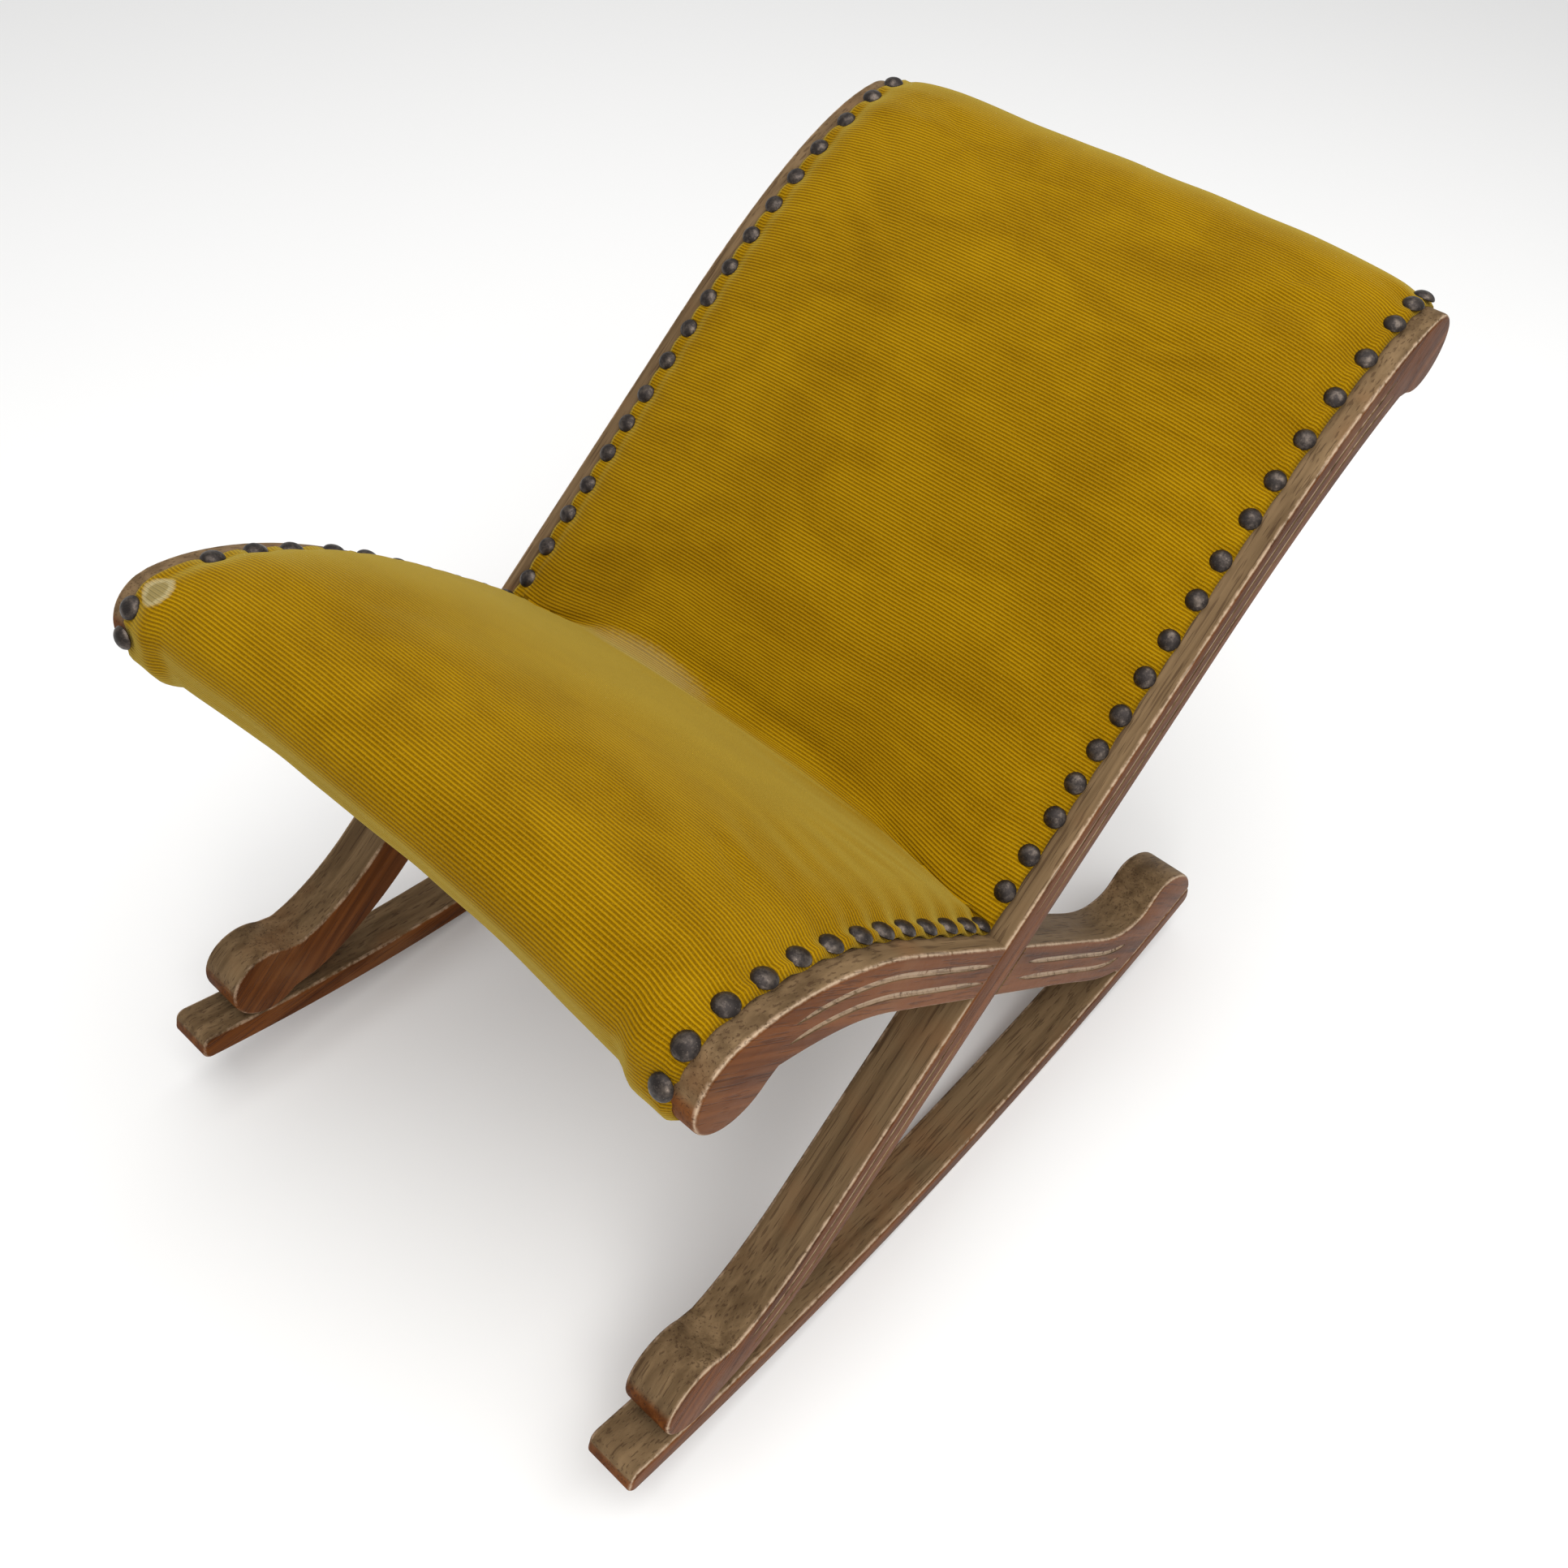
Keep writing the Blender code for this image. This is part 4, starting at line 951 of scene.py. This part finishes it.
def cloth_lengths(piece, flat, rows, columns):
    """True length of cloth to each point, measured from the crest of the seat and, on the
    back, from the crest of the top rail. The two are eased together in the valley."""
    lengths = [0.0] * len(flat)
    wide = columns + 1
    for column in range(wide):
        track = [column + wide * row for row in range(rows + 1)]
        for before, index in zip(track, track[1:]):
            step = piece.data.vertices[index].co - piece.data.vertices[before].co
            lengths[index] = lengths[before] + step.length
        front = min(track, key=lambda index: abs(flat[index][1] - FRONT_CROWN))
        back = min(track, key=lambda index: abs(flat[index][1] - TOP_CROWN))
        low = flat[front][1] - lengths[front]
        high = flat[back][1] - lengths[back]
        for index in track:
            share = eased(flat[index][1], BEND - 0.07, BEND + 0.06)
            lengths[index] += low + (high - low) * share
    return evened(lengths, wide)


def evened(lengths, wide):
    """Evens the lengths from column to column, so that the ribs run straight."""
    for _ in range(3):
        even = []
        for index in range(len(lengths)):
            row = index - index % wide
            first = max(row, index - 4)
            last = min(row + wide, index + 5)
            even.append(sum(lengths[first:last]) / (last - first))
        lengths = even
    return lengths


def nail_places(rows, label, sign):
    return [BEND + sign * distance / 1000 for distance in rows[label]]


NAIL_PLACES = {label: nail_places(BACK_NAILS, label, 1) + nail_places(SEAT_NAILS, label, -1)
               for label in ("left", "right")}


def pad_height(reach, x):
    """Top of the velvet over the stuffing, before it is pulled and swollen."""
    side = clamped(1 - (abs(x) / (INNER + 0.009))**7)
    ends = clamped(min((reach - FRONT_CROWN + 0.030) / 0.060,
                       (TOP_CROWN + 0.024 - reach) / 0.055))
    crown = PAD_CROWN * side**0.75 * ends**0.6
    fillet = EDGE_FILLET + (VALLEY_FILLET - EDGE_FILLET) * sag_at(reach, x)
    near_bend = math.exp(-((reach - BEND) / 0.030)**2)
    crown += (min(crown, 0.55 * fillet) - crown) * near_bend
    soft = noise.noise(Vector((x * 11, reach * 9, 2.3))) * 0.0016
    lumps = noise.noise(Vector((x * 26, reach * 22, 7.1))) * 0.0006
    tight = 0.0018 * eased(FRONT_CROWN - 0.012 - reach, 0.0, 0.020)
    return COVER_LIFT - tight + crown + (soft + lumps) * side


def pulled(reach, x):
    """Dip at the nails, and the slack that stands up between them."""
    inset = WIDTH / 2 - abs(x)
    places = NAIL_PLACES["left" if x < 0 else "right"]
    gap = min(abs(place - reach) for place in places)
    inward = max(0.0, inset - NAIL_INSET)
    fan = math.cos(math.pi * clamped(gap / NAIL_HALF_GAP))
    pucker = -0.0007 * fan * math.exp(-inward / 0.012)
    dimple = -0.0012 * math.exp(-((gap / NAIL_DIP)**2
                                  + ((inset - NAIL_INSET) / NAIL_DIP)**2))
    return pucker + dimple


def edge_drop(x):
    """The velvet is turned under, so its edge is a soft round fold."""
    inside = (COVER_HALF - abs(x)) / FOLD
    return 0.0 if inside >= 1 else -0.0024 * (1 - math.sqrt(clamped(1 - (1 - inside)**2)))


def velvet_height(reach, x):
    return pad_height(reach, x) + pulled(reach, x) + edge_drop(x)


def swell(piece, pinned, pressure, limit):
    """Blows the cloth up a little between its nails, and keeps each point near its place."""
    start = [vertex.co.copy() for vertex in piece.data.vertices]
    group = piece.vertex_groups.new(name="nailed")
    for index, weight in enumerate(pinned):
        if weight > 0:
            group.add([index], weight, "REPLACE")
    cloth = piece.modifiers.new("cloth", "CLOTH")
    cloth.settings.vertex_group_mass = "nailed"
    cloth.settings.use_pressure = True
    cloth.settings.uniform_pressure_force = pressure
    cloth.settings.tension_stiffness = 12
    cloth.settings.compression_stiffness = 12
    cloth.settings.bending_stiffness = 0.6
    cloth.settings.mass = 0.25
    cloth.settings.effector_weights.gravity = 0
    cloth.point_cache.frame_start = 1
    cloth.point_cache.frame_end = 20
    for number in range(1, 21):
        bpy.context.scene.frame_set(number)
    work_on(piece)
    bpy.ops.object.modifier_apply(modifier="cloth")
    bpy.context.scene.frame_set(1)
    for vertex, place in zip(piece.data.vertices, start):
        move = vertex.co - place
        if move.length > limit:
            vertex.co = place + move.normalized() * limit
    piece.vertex_groups.clear()


def thicken(piece, thick):
    """Gives the cloth its thickness, downwards, and closes its edges."""
    wall = piece.modifiers.new("wall", "SOLIDIFY")
    wall.thickness = thick
    wall.offset = -1
    wall.use_even_offset = False
    apply_modifiers(piece)


def velvet_cover():
    rows, columns = 220, 104
    piece, flat = strip("velvet_cover", 0.0, LENGTH, COVER_HALF, rows, columns,
                        velvet_height)
    pinned = []
    for x, reach in flat:
        over_wood = eased(abs(x), INNER - 0.012, INNER + 0.001)
        ends = max(eased(FRONT_CROWN - 0.030 - reach, 0.0, 0.012),
                   eased(reach - TOP_CROWN - 0.030, 0.0, 0.012))
        pinned.append(clamped(max(over_wood, ends, 0.04)))
    swell(piece, pinned, 2.5, 0.004)
    thicken(piece, VELVET_THICK)
    smooth(piece, 180)
    dress(piece, VELVET, "gold_velvet", "cover", "stuffing")


def underlayers():
    """Hessian over the webbing, both seen from below."""
    first, last = FRONT_CROWN - 0.008, TOP_CROWN + 0.006
    hessian, _ = strip("hessian_lining", first, last, COVER_HALF - 0.003, 150, 60,
                       lambda reach, x: CANVAS_LIFT)
    thicken(hessian, CANVAS_THICK)
    smooth(hessian, 180)
    dress(hessian, HESSIAN, "hessian", "canvas")
    runs = (("seat", FRONT_CROWN + 0.020, BEND - 0.034, 2),
            ("back", BEND + 0.040, TOP_CROWN - 0.020, 4))
    for part, start, end, count in runs:
        pitch = (end - start - STRAP_WIDE) / (count - 1)
        for index in range(count):
            low = start + pitch * index
            strap, _ = strip(f"webbing_{part}_{index + 1}_strap", low, low + STRAP_WIDE,
                             COVER_HALF - STRAP_EDGE, 12, 60,
                             lambda reach, x: STRAP_LIFT)
            thicken(strap, STRAP_THICK)
            smooth(strap, 180)
            dress(strap, JUTE, "jute_webbing", f"webbing_{part}_{index + 1}")


# ---- nails and rails -----------------------------------------------------------------
def nail_head():
    """One domed head with a thin rolled rim, standing at the origin."""
    deselect()
    bpy.ops.mesh.primitive_uv_sphere_add(segments=20, ring_count=14, radius=NAIL_HEAD)
    head = bpy.context.object
    head.scale = (1, 1, 0.66)
    settle(head)
    bpy.ops.object.mode_set(mode="EDIT")
    bpy.ops.mesh.select_all(action="SELECT")
    bpy.ops.mesh.bisect(plane_co=(0, 0, 0.0003), plane_no=(0, 0, 1), use_fill=True,
                        clear_inner=True)
    bpy.ops.object.mode_set(mode="OBJECT")
    for face in head.data.polygons:
        face.select = face.normal.z < -0.9
    bpy.ops.object.mode_set(mode="EDIT")
    bpy.ops.mesh.select_mode(type="FACE")
    bpy.ops.mesh.extrude_region_move(TRANSFORM_OT_translate={"value": (0, 0, -0.0005)})
    bpy.ops.transform.resize(value=(0.94, 0.94, 1.0), center_override=(0, 0, 0))
    bpy.ops.object.mode_set(mode="OBJECT")
    return head


def nail_row(name, head, side, places, *nodes):
    row = []
    for index, reach in enumerate(places):
        x = side * (WIDTH / 2 - NAIL_INSET)
        place, out = along_line(reach, x)
        lean = noise.noise(Vector((reach * 90, side * 3.0, 1.7))) * 0.10
        shift = noise.noise(Vector((reach * 70, side * 5.0, 4.2))) * 0.0011
        base = place + (COVER_LIFT - NAIL_SUNK) * out
        turn = Matrix.Rotation(math.atan2(out.y, out.x) - math.pi / 2 + lean, 4, "X")
        spin = Matrix.Rotation(index * 2.4, 4, "Z")
        copy = bpy.data.objects.new(f"{name}_{index}", head.data.copy())
        bpy.context.scene.collection.objects.link(copy)
        copy.data.transform(Matrix.Translation((x + shift, base.x, base.y)) @ turn @ spin)
        row.append(copy)
    deselect()
    for copy in row:
        copy.select_set(True)
    bpy.context.view_layer.objects.active = row[0]
    bpy.ops.object.join()
    piece = bpy.context.object
    piece.name = name
    smooth(piece, 40)
    dress(piece, BRASS, "antique_brass", *nodes)


def nails():
    head = nail_head()
    for label, side in (("left", -1), ("right", 1)):
        nail_row(f"nails_back_{label}", head, side, nail_places(BACK_NAILS, label, 1),
                 f"back_nails_{label}")
        nail_row(f"nails_seat_{label}", head, side, nail_places(SEAT_NAILS, label, -1),
                 f"seat_nails_{label}")
    bpy.data.objects.remove(head)


def round_rail(name, centre, radius, node):
    """A turned bar between the side frames, its ends eased."""
    deselect()
    length = 2 * (INNER - FIT)
    bpy.ops.mesh.primitive_cylinder_add(vertices=48, radius=radius, depth=length,
                                        location=(0, centre.x + SET_BACK, centre.y),
                                        rotation=(0, math.pi / 2, 0))
    piece = bpy.context.object
    piece.name = name
    settle(piece)
    bevel = piece.modifiers.new("eased", "BEVEL")
    bevel.width = 0.0012
    bevel.segments = 2
    bevel.limit_method = "ANGLE"
    apply_modifiers(piece)
    smooth(piece)
    dress(piece, BEECH, "beech", node)


def middle_rail():
    low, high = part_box("middle_rail")
    deselect()
    bpy.ops.mesh.primitive_cube_add(size=1, location=(low + high) / 2)
    piece = bpy.context.object
    piece.name = "middle_rail_planed"
    piece.scale = high - low
    settle(piece)
    bevel = piece.modifiers.new("eased", "BEVEL")
    bevel.width = 0.0022
    bevel.segments = 3
    apply_modifiers(piece)
    smooth(piece)
    dress(piece, BEECH, "beech", "middle_rail")


def hidden_fastenings():
    """Dowels, pegs and screws keep their solids and get their own finishes."""
    for name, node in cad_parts.items():
        if node.hide_render:
            continue
        paint = STEEL if "screw" in name else BEECH
        node.data.materials.clear()
        node.data.materials.append(paint)


# ---- room ---------------------------------------------------------------------------
def floor():
    deselect()
    bpy.ops.mesh.primitive_plane_add(size=14, location=(0, 0, CAD_BOX[0].z))
    plane = bpy.context.object
    plane.name = "pale_floor"
    paint, _, body = shader("pale_floor")
    body.inputs["Base Color"].default_value = (0.86, 0.86, 0.86, 1)
    body.inputs["Roughness"].default_value = 0.9
    body.inputs["Specular IOR Level"].default_value = 0.1
    plane.data.materials.append(paint)


def soft_light(name, place, target, size, power, tint):
    lamp = bpy.data.lights.new(name, "AREA")
    lamp.shape = "SQUARE"
    lamp.size = size
    lamp.energy = power
    lamp.color = tint
    made = bpy.data.objects.new(name, lamp)
    made.location = place
    made.rotation_euler = (Vector(target) - Vector(place)).to_track_quat("-Z", "Y").to_euler()
    bpy.context.scene.collection.objects.link(made)


def lights():
    world = bpy.data.worlds.new("studio")
    bpy.context.scene.world = world
    world.use_nodes = True
    sky = world.node_tree.nodes["Background"]
    sky.inputs["Color"].default_value = (1, 1, 1, 1)
    sky.inputs["Strength"].default_value = 0.62
    soft_light("overhead", (0.35, -0.05, 1.85), (0, 0, 0.2), 2.2, 38, (1.0, 0.995, 0.98))
    soft_light("window", (0.75, -0.75, 0.62), (0.05, 0.05, 0.25), 0.35, 2.2,
               (1.0, 0.98, 0.94))


def camera():
    view = bpy.data.cameras.new("camera")
    view.lens = 34.59
    view.sensor_width = 36
    view.shift_x = -0.0403
    view.shift_y = -0.0368
    view.clip_start = 0.02
    made = bpy.data.objects.new("camera", view)
    right = Vector((0.7566, 0.6508, 0.0638))
    ahead = Vector((-0.4223, 0.5608, -0.7122))
    up = right.cross(ahead)
    turn = Matrix((right, up, -ahead)).transposed()
    made.matrix_world = Matrix.Translation((0.3578, -0.4179, 0.7509)) @ turn.to_4x4()
    bpy.context.scene.collection.objects.link(made)
    bpy.context.scene.camera = made


for label, side in (("left", -1), ("right", 1)):
    side_frame(label, side)
velvet_cover()
underlayers()
nails()
round_rail("front_rail_turned", FRONT_BAR, FRONT_BAR_RADIUS, "front_rail")
round_rail("top_rail_turned", TOP_SCROLL, TOP_BAR_RADIUS, "top_rail")
middle_rail()
hidden_fastenings()
floor()
lights()
camera()
bpy.context.scene.view_settings.view_transform = "Standard"
bpy.context.view_layer.update()
